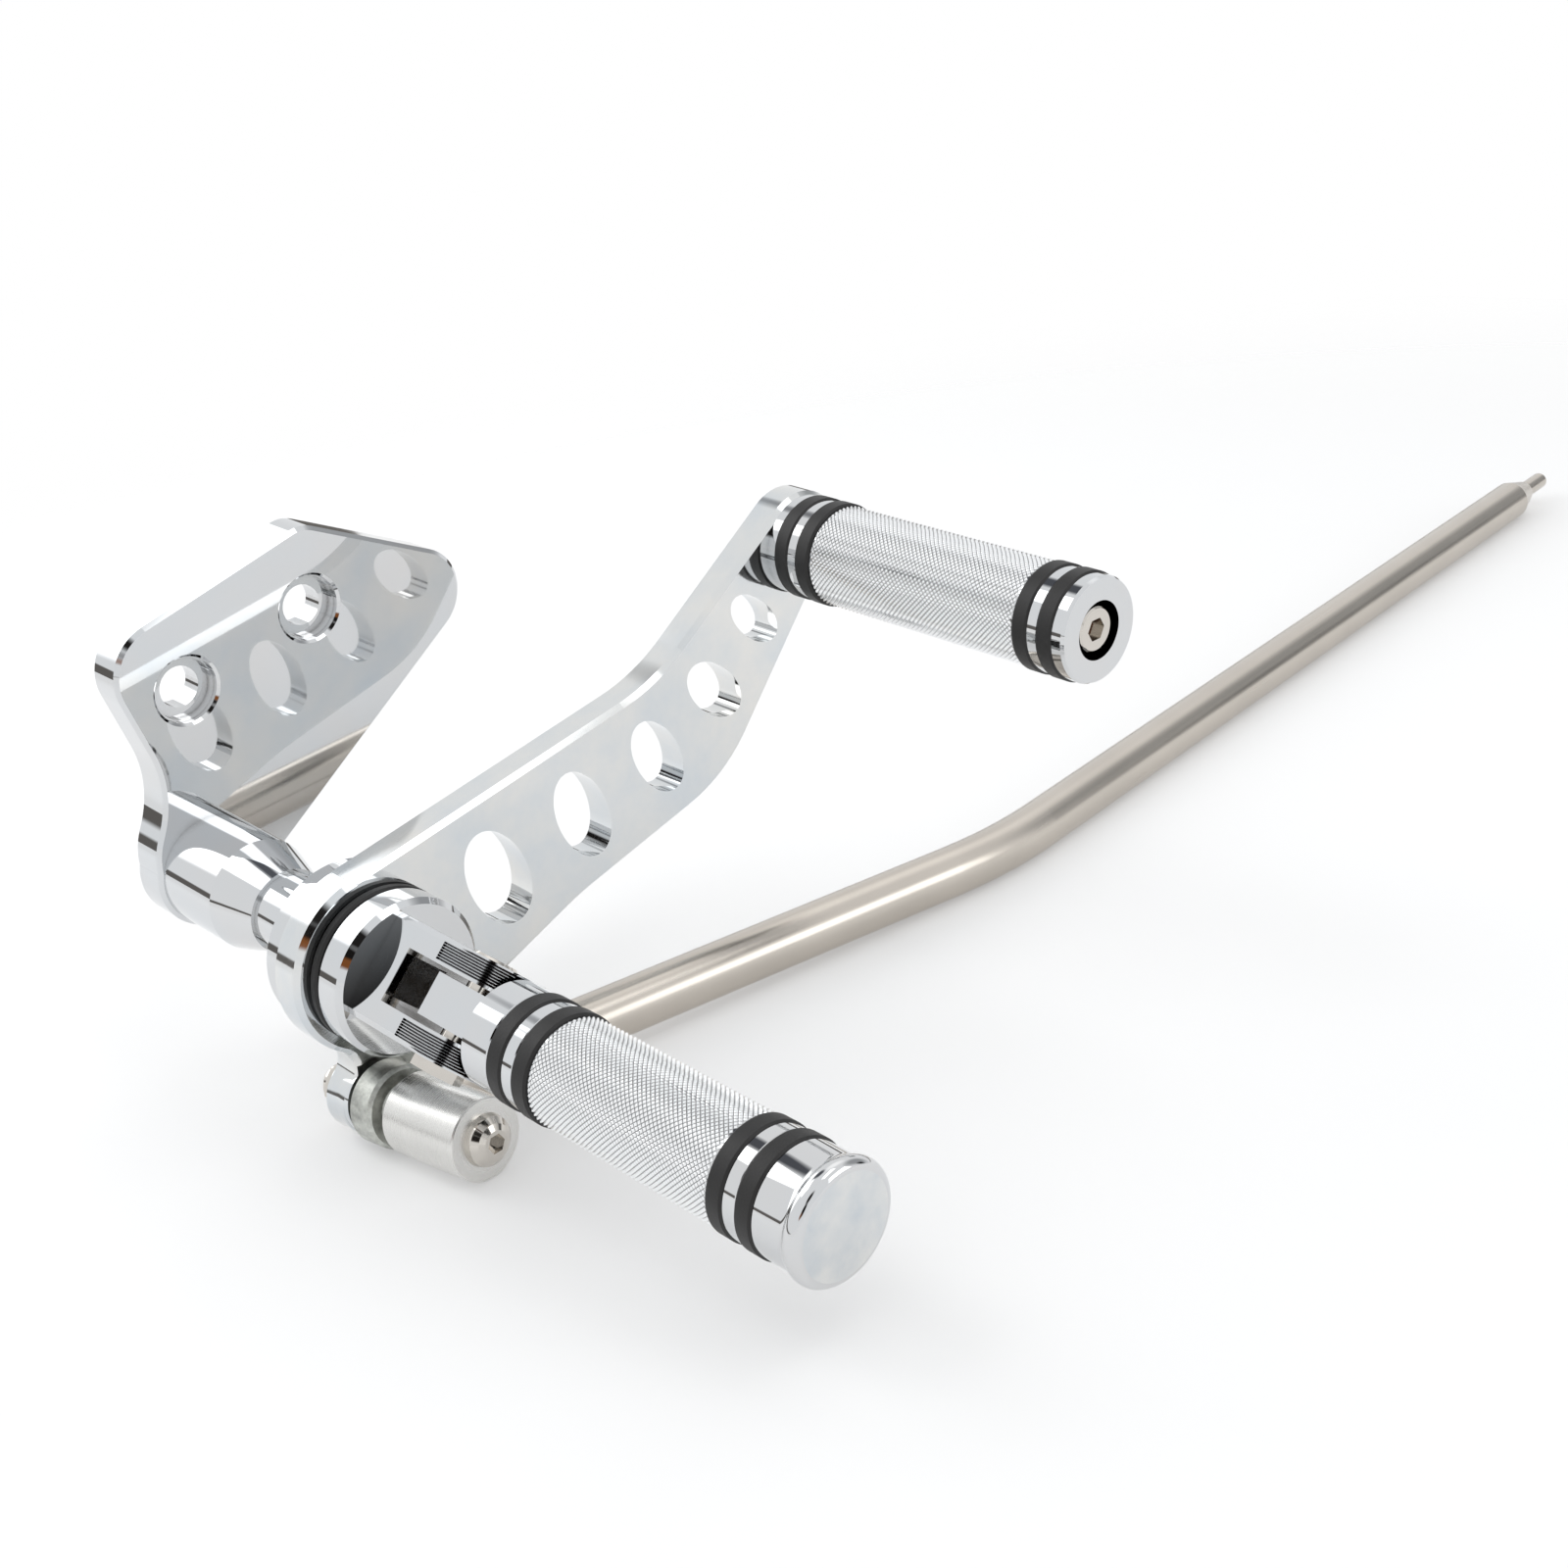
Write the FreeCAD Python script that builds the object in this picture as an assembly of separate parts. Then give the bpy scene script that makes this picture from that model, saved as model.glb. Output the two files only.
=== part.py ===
import FreeCAD
import Part
import math
import os
from FreeCAD import Vector

# Motorcycle forward controls, one side: a bracket plate carries a pivot barrel, on whose
# spigot a toe lever swings. A clevis on the end of the barrel holds a folding foot peg, the
# lever carries a fixed toe peg, and a rod on the lever's tail works the gearbox.
# Lengths are millimetres. Shapes are drawn round the pivot axis, which lies along Y at
# x = z = 0: outboard is -Y, forward is +X, up is +Z. "Out" below means the distance
# outboard, which is -y. At the end everything is moved so that the origin is midway
# between the two frame bolts, on the face of the bracket that meets the frame.

# Frame bolts, seen from the pivot axis
BOLT_SPACING = 45.6
BOLT_LINE_ANGLE = 14.6
MOUNT_X = 24.4
MOUNT_Z = 63.2
FRAME_FACE_OUT = -99.5
BOLT_HOLE_R = 6.3
COUNTERBORE_R = 9.5
COUNTERBORE_DEPTH = 4.8
COUNTERBORE_RIM_R = 10.1
COUNTERBORE_RIM_DEPTH = 2.4
COUNTERBORE_CHAMFER = 0.8

# Bracket plate: corners of its outline as x, z and corner radius; its foot is a round
# end on the barrel's axis that hides the last two corners
PLATE_THICK = 12.0
PLATE_CHAMFER = 1.2
PLATE_FOOT_LAND = 1.25
PLATE_CORNERS = [
    (-23.4, 75.8, 15.9),
    (48.5, 94.9, 11.3),
    (115.1, 62.7, 14.9),
    (11.2, -11.5, 0.0),
    (-8.0, -14.0, 0.0),
    (-21.6, 1.9, 22.5),
    (-8.7, 29.3, 33.8),
]

# Pivot barrel
BARREL_R = 16.9
BARREL_STRAIGHT = 25.5
BARREL_CONE = 15.5
BARREL_CONE_R = 12.7
NECK_R = 11.6
FLANGE_R = 24.5
FLANGE_THICK = 9.2
FLANGE_FLARE = 3.4
FLANGE_CHAMFER = 1.2

# Pivot bolt, let into the back of the plate
PIVOT_BOLT_R = 6.0
PIVOT_HEAD_R = 10.0
PIVOT_HEAD_THICK = 6.0
PIVOT_THREAD = 13.0
PIVOT_SOCKET_FLATS = 8.0
PIVOT_SOCKET_DEPTH = 4.0

# Toe lever plate and its bearing
SPIGOT_R = 10.0
LEVER_FRONT_OUT = -1.0
LEVER_THICK = 10.0
LEVER_CHAMFER = 1.5
HUB_R = 27.0
TOE_X = 169.3
TOE_Z = 71.4
TOE_END_R = 16.3
UPPER_EDGE_START = (-4.6, 26.8)
UPPER_EDGE_BEND = (106.0, 47.1, 60.0)
LOWER_EDGE_BEND = (130.8, 6.6, 48.0)
LOWER_EDGE_SWEEP = (70.7, -9.4, 90.0)
TOE_EDGE_ANGLE_TOP = 125.8
TOE_EDGE_ANGLE_LOW = -40.0
TOE_EDGE_INSET = 4.3
# The five oval windows: centre x and z, half length, half width, turn of the long axis
WINDOWS = [
    (42.4, 8.6, 16.9, 9.9, 112.3),
    (74.4, 16.2, 15.6, 8.8, 112.0),
    (104.3, 23.7, 14.1, 7.8, 119.4),
    (128.6, 37.0, 12.85, 7.26, 135.2),
    (146.8, 54.2, 11.5, 5.9, 135.4),
]

# Tail of the lever: its boss stands along the linkage bolt, which leans off the pivot
# axis; the two leans are measured towards +X and +Z
TAIL_X = -7.4
TAIL_Z = -40.6
TAIL_R = 10.6
TAIL_NECK_FILLET = 7.0
BOLT_LEAN_X = 3.7
BOLT_LEAN_Z = 6.6

# Clevis mount: a disc against the rubber ring, then a squared body with two ears
HUB_RING_THICK = 3.0
HUB_RING_WALL = 3.6
DISC_R = 23.0
DISC_OUT = 13.2
DISC_EDGE = 1.5
DISC_FRONT_EDGE = 1.6
CLEVIS_WIDE = 30.0
CLEVIS_HIGH = 29.7
CLEVIS_CORNER_R = 20.1
CLEVIS_TURN = -45.0
SLOT_WIDE = 15.6
SLOT_END_OUT = 23.5
PIN_OUT = 39.5
PIN_R = 4.0
PIN_HEAD_R = 6.6
PIN_HEAD_PROUD = 0.6
PIN_SOCKET_FLATS = 5.0
PIN_SOCKET_DEPTH = 2.4
PIN_NUT_FLATS = 13.0
PIN_NUT_THICK = 3.4
EAR_GROOVES = 8
EAR_GROOVE_PITCH = 0.74
EAR_GROOVE_FIRST = 9.0
EAR_GROOVE_DEPTH = 0.55
EAR_GROOVE_RUN = 5.0

# Foot peg: tongue, collar and grooved body, stacked outboard
TONGUE_WIDE = 12.2
TONGUE_HIGH = 22.0
TONGUE_BACK = 8.5
TONGUE_BEVEL = 3.0
COLLAR_OUT = 56.0
COLLAR_LENGTH = 11.0
PEG_R = 15.0
PEG_EDGE = 0.5
KNURL_DEPTH = 0.4
PEG_STUD_R = 6.0
PEG_STUD_LENGTH = 30.0
FOOT_RING_IN = 6.0
FOOT_RING_OUT = 5.6
FOOT_LAND = 4.1
FOOT_KNURL = 66.0
FOOT_END = 9.1
FOOT_LIP_R = 16.1
FOOT_LIP_LENGTH = 4.6
FOOT_DOME = 1.9

# Toe peg: grooved body on a long screw
TOE_FOOT_LAND = 3.1
TOE_RING = 5.6
TOE_LAND = 3.1
TOE_KNURL = 79.5
TOE_END = 4.1
TOE_PEG_R = 15.3
TOE_BORE_R = 8.5
TOE_BORE_DEPTH = 9.0
TOE_SCREW_R = 4.0
TOE_SCREW_THREAD = 8.5
TOE_HEAD_R = 6.5
TOE_HEAD_THICK = 8.0
TOE_SOCKET_FLATS = 6.0
TOE_SOCKET_DEPTH = 4.0

# Rubber rings of both pegs
RING_WALL = 3.0
RING_PROUD = 0.5
RING_EDGE = 0.6

# Linkage: bolt, nut, swivel eye with its ball, spacer and rod
LINK_BOLT_R = 4.0
LINK_HEAD_R = 7.5
LINK_HEAD_THICK = 4.4
LINK_SOCKET_FLATS = 5.0
LINK_SOCKET_DEPTH = 2.8
LINK_NUT_FLATS = 13.0
LINK_NUT_THICK = 6.5
LINK_NUT_DOME = 5.5
EYE_R = 12.1
EYE_THICK = 9.5
EYE_CHAMFER = 1.0
BALL_R = 9.0
BALL_THICK = 13.8
SPACER_R = 11.8
SPACER_LENGTH = 33.4
SPACER_NOSE_R = 6.8
SPACER_NOSE = 3.1
SHANK_R = 6.0
SHANK_NECK_R = 6.8
SHANK_LENGTH = 30.0
ROD_R = 8.25
ROD_START = 18.0
ROD_BEND_REACH = 213.0
ROD_BEND_OUT = 37.0
ROD_BEND_DROP = 40.0
ROD_REACH = 653.0
ROD_TIP_IN = 20.0
ROD_TIP_DROP = 46.0
ROD_BEND_R = 160.0
ROD_CONE_LENGTH = 14.0
ROD_CONE_END_R = 4.75
ROD_PIN_R = 3.5
ROD_PIN_LENGTH = 20.0
ROD_PIN_ROUND = 1.4

# Clearances
RUN = 0.05
SIDE_GAP = 0.3
SCREW_GAP = 0.3
SPOT_FACE_GAP = 0.9

OUTBOARD = Vector(0, -1, 0)
ACROSS = Vector(1, 0, 0)
LEVER_BACK_OUT = LEVER_FRONT_OUT - LEVER_THICK
PLATE_FRONT_OUT = FRAME_FACE_OUT + PLATE_THICK
FLANGE_FRONT_OUT = LEVER_BACK_OUT - SIDE_GAP
BOSS_OUT = LEVER_FRONT_OUT + SIDE_GAP
HUB_RING_R = DISC_R
RING_SEAT_R = HUB_RING_R - HUB_RING_WALL
DISC_BACK_OUT = BOSS_OUT + HUB_RING_THICK + RUN
ROD_BEND = Vector(ROD_BEND_REACH, -ROD_BEND_OUT, -ROD_BEND_DROP)
ROD_TIP = Vector(ROD_REACH, ROD_TIP_IN, -ROD_TIP_DROP)
BOLT_DIRECTION = Vector(
    math.tan(math.radians(BOLT_LEAN_X)), -1.0, math.tan(math.radians(BOLT_LEAN_Z))
).normalize()


def outline(corners):
    """Closed wire in the XZ plane through corners (x, z, radius), with each corner rounded."""
    points = [Vector(x, 0, z) for x, z, _ in corners]
    starts, middles, ends = [], [], []
    for i, (_, _, radius) in enumerate(corners):
        here = points[i]
        back = (points[i - 1] - here).normalize()
        ahead = (points[(i + 1) % len(points)] - here).normalize()
        half = back.getAngle(ahead) / 2
        reach = radius / math.tan(half)
        middle = (back + ahead).normalize() * (radius / math.sin(half) - radius)
        starts.append(here + back * reach)
        middles.append(here + middle)
        ends.append(here + ahead * reach)
    edges = []
    for i, (_, _, radius) in enumerate(corners):
        if radius > 0:
            edges.append(Part.Arc(starts[i], middles[i], ends[i]).toShape())
        edges.append(Part.LineSegment(ends[i], starts[(i + 1) % len(points)]).toShape())
    return Part.Wire(edges)


def plate_from(wire, front_out, thick):
    """Flat plate with the given outline, its front face at front_out."""
    face = Part.Face(wire)
    face.translate(Vector(0, -front_out, 0))
    return face.extrude(Vector(0, thick, 0))


def disc(x, z, radius, front_out, thick):
    """Round disc about an axis along Y."""
    return Part.makeCylinder(radius, thick, Vector(x, -front_out, z), Vector(0, 1, 0))


def turned(profile, x=0.0, z=0.0):
    """Solid of revolution from (out, radius) points, about an axis along Y through x, z."""
    points = [Vector(radius, -out, 0) for out, radius in profile]
    face = Part.Face(Part.makePolygon(points + points[:1]))
    solid = face.revolve(Vector(0, 0, 0), Vector(0, 1, 0), 360)
    solid.translate(Vector(x, 0, z))
    return solid


def hexagon(flats, out, length):
    """Hexagonal prism about the Y axis, starting at out and running outboard."""
    corner = flats / math.sqrt(3)
    points = []
    for i in range(7):
        angle = math.radians(60 * i)
        points.append(Vector(corner * math.cos(angle), -out, corner * math.sin(angle)))
    return Part.Face(Part.makePolygon(points)).extrude(OUTBOARD * length)


def front_edges(solid, front_out):
    """Edges that lie in the flat face at front_out."""
    return [edge for edge in solid.Edges
            if all(abs(v.Point.y + front_out) < 1e-6 for v in edge.Vertexes)
            and abs(edge.CenterOfMass.y + front_out) < 1e-6]


def turned_up(shape):
    """Clevis and tongue are drawn with the pin along X, then turned about the peg's axis."""
    shape.rotate(Vector(0, 0, 0), Vector(0, 1, 0), CLEVIS_TURN)
    return shape


def on_bolt(shape):
    """Linkage pieces are drawn on the Y axis, 0 at the tail's front face, then leant over."""
    turn = FreeCAD.Rotation(OUTBOARD, BOLT_DIRECTION)
    place = FreeCAD.Placement(Vector(TAIL_X, -LEVER_FRONT_OUT, TAIL_Z), turn)
    shape.Placement = place.multiply(shape.Placement)
    return shape


def frame_bolt_places():
    """The two frame bolt centres, x and z from the pivot axis."""
    angle = math.radians(BOLT_LINE_ANGLE)
    half = BOLT_SPACING / 2
    return [(MOUNT_X + side * half * math.cos(angle), MOUNT_Z + side * half * math.sin(angle))
            for side in (-1, 1)]


def bracket_plate():
    foot_r = BARREL_R + PLATE_FOOT_LAND
    body = plate_from(outline(PLATE_CORNERS), PLATE_FRONT_OUT, PLATE_THICK)
    body = body.fuse(disc(0, 0, foot_r, PLATE_FRONT_OUT, PLATE_THICK)).removeSplitter()
    body = body.makeChamfer(PLATE_CHAMFER, front_edges(body, PLATE_FRONT_OUT))
    front = PLATE_FRONT_OUT
    for x, z in frame_bolt_places():
        cut = turned([
            (front + 1, 0),
            (front + 1, COUNTERBORE_RIM_R + COUNTERBORE_CHAMFER + 1),
            (front - COUNTERBORE_CHAMFER, COUNTERBORE_RIM_R),
            (front - COUNTERBORE_RIM_DEPTH, COUNTERBORE_RIM_R),
            (front - COUNTERBORE_RIM_DEPTH, COUNTERBORE_R),
            (front - COUNTERBORE_DEPTH, COUNTERBORE_R),
            (front - COUNTERBORE_DEPTH, BOLT_HOLE_R),
            (FRAME_FACE_OUT - 1, BOLT_HOLE_R),
            (FRAME_FACE_OUT - 1, 0),
        ], x, z)
        body = body.cut(cut)
    bolt_recess = turned([
        (front + 1, 0),
        (front + 1, PIVOT_BOLT_R + RUN),
        (FRAME_FACE_OUT + PIVOT_HEAD_THICK + SIDE_GAP, PIVOT_BOLT_R + RUN),
        (FRAME_FACE_OUT + PIVOT_HEAD_THICK + SIDE_GAP, PIVOT_HEAD_R + SIDE_GAP),
        (FRAME_FACE_OUT - 1, PIVOT_HEAD_R + SIDE_GAP),
        (FRAME_FACE_OUT - 1, 0),
    ])
    return body.cut(bolt_recess)


def pivot_bolt():
    seat = FRAME_FACE_OUT + PIVOT_HEAD_THICK + SIDE_GAP
    head = seat - PIVOT_HEAD_THICK
    body = turned([
        (head, 0),
        (head, PIVOT_HEAD_R),
        (seat, PIVOT_HEAD_R),
        (seat, PIVOT_BOLT_R),
        (BOSS_OUT + PIVOT_THREAD, PIVOT_BOLT_R),
        (BOSS_OUT + PIVOT_THREAD, 0),
    ])
    return body.cut(hexagon(PIVOT_SOCKET_FLATS, head, PIVOT_SOCKET_DEPTH))


def pivot_barrel():
    flange_back = FLANGE_FRONT_OUT - FLANGE_THICK
    cone_start = PLATE_FRONT_OUT + BARREL_STRAIGHT
    return turned([
        (PLATE_FRONT_OUT, PIVOT_BOLT_R + RUN),
        (PLATE_FRONT_OUT, BARREL_R),
        (cone_start, BARREL_R),
        (cone_start + BARREL_CONE, BARREL_CONE_R),
        (cone_start + BARREL_CONE, NECK_R),
        (flange_back - FLANGE_FLARE, NECK_R),
        (flange_back, NECK_R + FLANGE_FLARE),
        (flange_back, FLANGE_R - FLANGE_CHAMFER),
        (flange_back + FLANGE_CHAMFER, FLANGE_R),
        (FLANGE_FRONT_OUT - FLANGE_CHAMFER, FLANGE_R),
        (FLANGE_FRONT_OUT, FLANGE_R - FLANGE_CHAMFER),
        (FLANGE_FRONT_OUT, SPIGOT_R),
        (BOSS_OUT, SPIGOT_R),
        (BOSS_OUT, PIVOT_BOLT_R + RUN),
    ])


def tail_neck(tail_x, tail_z):
    """Web that rounds the inner corner between the hub and the tail, on the side away
    from the toe: a triangle between three centres less the corner's own circle."""
    span = math.hypot(tail_x, tail_z)
    to_hub = HUB_R + TAIL_NECK_FILLET
    to_tail = TAIL_R + TAIL_NECK_FILLET
    along = (to_hub ** 2 - to_tail ** 2 + span ** 2) / (2 * span)
    aside = math.sqrt(to_hub ** 2 - along ** 2)
    ux, uz = tail_x / span, tail_z / span
    cx, cz = ux * along + uz * aside, uz * along - ux * aside
    web = plate_from(outline([(0, 0, 0), (tail_x, tail_z, 0), (cx, cz, 0)]),
                     LEVER_FRONT_OUT, LEVER_THICK)
    return web.cut(disc(cx, cz, TAIL_NECK_FILLET, LEVER_FRONT_OUT + 1, LEVER_THICK + 2))


def toe_edge(angle, radius):
    """Point at an angle and distance from the toe peg's axis."""
    turn = math.radians(angle)
    return (TOE_X + radius * math.cos(turn), TOE_Z + radius * math.sin(turn), 0)


def window(x, z, half_long, half_wide, turn):
    """Oval hole right through the lever."""
    oval = Part.Ellipse(Vector(0, 0, 0), half_long, half_wide).toShape()
    oval.rotate(Vector(0, 0, 0), Vector(0, 0, 1), turn)
    oval.rotate(Vector(0, 0, 0), Vector(1, 0, 0), 90)
    oval.translate(Vector(x, -LEVER_FRONT_OUT - 1, z))
    return Part.Face(Part.Wire([oval])).extrude(Vector(0, LEVER_THICK + 2, 0))


def toe_lever():
    lean = LEVER_THICK / 2
    tail_x = TAIL_X - lean * math.tan(math.radians(BOLT_LEAN_X))
    tail_z = TAIL_Z - lean * math.tan(math.radians(BOLT_LEAN_Z))
    arm = outline([
        (UPPER_EDGE_START[0], UPPER_EDGE_START[1], 0),
        UPPER_EDGE_BEND,
        toe_edge(TOE_EDGE_ANGLE_TOP, TOE_END_R),
        toe_edge(TOE_EDGE_ANGLE_LOW, TOE_END_R - TOE_EDGE_INSET),
        LOWER_EDGE_BEND,
        LOWER_EDGE_SWEEP,
        (tail_x, tail_z, 0),
        (0, 0, 0),
    ])
    body = plate_from(arm, LEVER_FRONT_OUT, LEVER_THICK)
    for x, z, radius in ((0, 0, HUB_R), (TOE_X, TOE_Z, TOE_END_R), (tail_x, tail_z, TAIL_R)):
        body = body.fuse(disc(x, z, radius, LEVER_FRONT_OUT, LEVER_THICK))
    body = body.fuse(tail_neck(tail_x, tail_z)).removeSplitter()
    body = body.makeChamfer(LEVER_CHAMFER, front_edges(body, LEVER_FRONT_OUT))
    for oval in WINDOWS:
        body = body.cut(window(*oval))
    room = EYE_THICK
    body = body.cut(on_bolt(disc(0, 0, EYE_R + SPOT_FACE_GAP, room, room)))
    body = body.cut(on_bolt(disc(0, 0, TAIL_R + SPOT_FACE_GAP, -LEVER_THICK, room)))
    body = body.fuse(on_bolt(disc(0, 0, TAIL_R, 0, LEVER_THICK))).removeSplitter()
    body = body.cut(on_bolt(disc(0, 0, LINK_BOLT_R + RUN, 1, LEVER_THICK + 2)))
    body = body.cut(disc(0, 0, SPIGOT_R + RUN, LEVER_FRONT_OUT + 1, LEVER_THICK + 2))
    return body.cut(disc(TOE_X, TOE_Z, TOE_SCREW_R + RUN, LEVER_FRONT_OUT + 1, LEVER_THICK + 2))


def rubber_ring(start, length, inner, outer, edge, x=0.0, z=0.0):
    """Rubber ring with eased outer edges, seated with a small clearance in its groove."""
    begin = start + RUN
    end = start + length - RUN
    return turned([
        (begin, inner + RUN),
        (begin, outer - edge),
        (begin + edge, outer),
        (end - edge, outer),
        (end, outer - edge),
        (end, inner + RUN),
    ], x, z)


def hub_ring():
    return rubber_ring(BOSS_OUT, HUB_RING_THICK + RUN, RING_SEAT_R, HUB_RING_R, RING_EDGE)


def ear_groove(across):
    """V groove round an ear's rounded end, run out a little way along both of its flats."""
    top = CLEVIS_HIGH / 2
    rim = top + RUN
    half = EAR_GROOVE_PITCH / 2 * (EAR_GROOVE_DEPTH + RUN) / (EAR_GROOVE_DEPTH + 2 * RUN)
    points = [Vector(across - half, -PIN_OUT, rim), Vector(across + half, -PIN_OUT, rim),
              Vector(across, -PIN_OUT, top - EAR_GROOVE_DEPTH)]
    section = Part.Face(Part.makePolygon(points + points[:1]))
    centre = Vector(0, -PIN_OUT, 0)
    upper = section.extrude(Vector(0, EAR_GROOVE_RUN, 0))
    lower = section.copy()
    lower.rotate(centre, ACROSS, 180)
    lower = lower.extrude(Vector(0, EAR_GROOVE_RUN, 0))
    return section.revolve(centre, ACROSS, 180).fuse([upper, lower])


def ear_grooves():
    """The grooves of both ears, from the slot side outward."""
    places = [EAR_GROOVE_FIRST + EAR_GROOVE_PITCH * i for i in range(EAR_GROOVES)]
    return [ear_groove(side * across) for side in (-1, 1) for across in places]


def clevis_mount():
    corner = CLEVIS_CORNER_R
    half_high = CLEVIS_HIGH / 2
    base = turned([
        (BOSS_OUT, 0),
        (BOSS_OUT, RING_SEAT_R),
        (DISC_BACK_OUT, RING_SEAT_R),
        (DISC_BACK_OUT, DISC_R - DISC_EDGE),
        (DISC_BACK_OUT + DISC_EDGE, DISC_R),
        (DISC_OUT - DISC_FRONT_EDGE, DISC_R),
        (DISC_OUT, DISC_R - DISC_EDGE),
        (DISC_OUT, 0),
    ])
    side = Part.makeBox(CLEVIS_WIDE, PIN_OUT - DISC_OUT + 1, CLEVIS_HIGH,
                        Vector(-CLEVIS_WIDE / 2, -PIN_OUT, -half_high))
    nose = Part.makeCylinder(half_high, CLEVIS_WIDE,
                             Vector(-CLEVIS_WIDE / 2, -PIN_OUT, 0), ACROSS)
    bar = disc(0, 0, corner, PIN_OUT + half_high, PIN_OUT + half_high - DISC_OUT + 1)
    body = side.fuse(nose).removeSplitter().common(bar)
    slot = Part.makeBox(SLOT_WIDE, PIN_OUT + half_high, CLEVIS_HIGH + 2,
                        Vector(-SLOT_WIDE / 2, -SLOT_END_OUT - PIN_OUT - half_high,
                               -half_high - 1))
    hole = Part.makeCylinder(PIN_R + RUN, CLEVIS_WIDE + 2,
                             Vector(-CLEVIS_WIDE / 2 - 1, -PIN_OUT, 0), ACROSS)
    sink = Part.makeCone(PIN_R + RUN, PIN_HEAD_R + RUN, PIN_HEAD_R - PIN_R,
                         Vector(CLEVIS_WIDE / 2 - PIN_HEAD_R + PIN_R, -PIN_OUT, 0), ACROSS)
    body = body.cut(slot).cut(hole).cut(sink).cut(ear_grooves())
    thread = disc(0, 0, PIVOT_BOLT_R + RUN, BOSS_OUT + PIVOT_THREAD + 1, PIVOT_THREAD + 2)
    return base.fuse(turned_up(body)).removeSplitter().cut(thread)


def clevis_pin():
    """Countersunk screw through both ears, its head let into the upper ear."""
    far = CLEVIS_WIDE / 2
    sink = PIN_HEAD_R - PIN_R
    shank = Part.makeCylinder(PIN_R, CLEVIS_WIDE + PIN_NUT_THICK,
                              Vector(-far - PIN_NUT_THICK, -PIN_OUT, 0), ACROSS)
    head = Part.makeCone(PIN_R, PIN_HEAD_R, sink, Vector(far - sink, -PIN_OUT, 0), ACROSS)
    rim = Part.makeCone(PIN_HEAD_R, PIN_HEAD_R - PIN_HEAD_PROUD, PIN_HEAD_PROUD,
                        Vector(far, -PIN_OUT, 0), ACROSS)
    socket = hexagon(PIN_SOCKET_FLATS, 0, PIN_SOCKET_DEPTH + 1)
    socket.rotate(Vector(0, 0, 0), Vector(0, 0, 1), 90)
    socket.translate(Vector(far + PIN_HEAD_PROUD - PIN_SOCKET_DEPTH, -PIN_OUT, 0))
    return turned_up(shank.fuse([head, rim]).removeSplitter().cut(socket))


def clevis_pin_nut():
    nut = hexagon(PIN_NUT_FLATS, 0, PIN_NUT_THICK)
    nut = nut.cut(disc(0, 0, PIN_R + RUN, PIN_NUT_THICK + 1, PIN_NUT_THICK + 2))
    nut.rotate(Vector(0, 0, 0), Vector(0, 0, 1), -90)
    nut.translate(Vector(-CLEVIS_WIDE / 2 - RUN, -PIN_OUT, 0))
    return turned_up(nut)


def tongue_back():
    return PIN_OUT - TONGUE_BACK


def peg_tongue():
    """Squared tongue in the clevis, round collar, and a stud into the peg."""
    back = tongue_back()
    half_high = TONGUE_HIGH / 2
    side = [
        (back, -half_high + TONGUE_BEVEL),
        (back + TONGUE_BEVEL, -half_high),
        (COLLAR_OUT + PEG_EDGE, -half_high),
        (COLLAR_OUT + PEG_EDGE, half_high),
        (back + TONGUE_BEVEL, half_high),
        (back, half_high - TONGUE_BEVEL),
    ]
    points = [Vector(-TONGUE_WIDE / 2, -out, high) for out, high in side]
    tongue = Part.Face(Part.makePolygon(points + points[:1])).extrude(ACROSS * TONGUE_WIDE)
    hole = Part.makeCylinder(PIN_R + RUN, TONGUE_WIDE + 2,
                             Vector(-TONGUE_WIDE / 2 - 1, -PIN_OUT, 0), ACROSS)
    end = COLLAR_OUT + COLLAR_LENGTH
    collar = turned([
        (COLLAR_OUT, 0),
        (COLLAR_OUT, PEG_R - PEG_EDGE),
        (COLLAR_OUT + PEG_EDGE, PEG_R),
        (end - PEG_EDGE, PEG_R),
        (end, PEG_R - PEG_EDGE),
        (end, PEG_STUD_R),
        (end + PEG_STUD_LENGTH, PEG_STUD_R),
        (end + PEG_STUD_LENGTH, 0),
    ])
    return turned_up(tongue.cut(hole)).fuse(collar).removeSplitter()


def foot_ring_starts():
    """Where the four rubber rings of the foot peg begin."""
    first = COLLAR_OUT + COLLAR_LENGTH
    second = first + FOOT_RING_IN + FOOT_LAND
    third = second + FOOT_RING_IN + FOOT_KNURL
    fourth = third + FOOT_RING_OUT + FOOT_LAND
    return [first, second, third, fourth]


def grooved_profile(start, rings, end, radius):
    """Outer half profile of a peg body: a groove under each ring, and between the second
    and third rings the foot of the knurl."""
    seat = radius - RING_WALL
    grip = radius - KNURL_DEPTH
    points = [(start, seat if rings[0][0] == start else radius)]
    for number, (begin, length) in enumerate(rings):
        before = grip if number == 2 else radius
        after = grip if number == 1 else radius
        if begin > start:
            points += [(begin, before), (begin, seat)]
        points += [(begin + length, seat), (begin + length, after)]
    return points + [(end, radius)]


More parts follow.
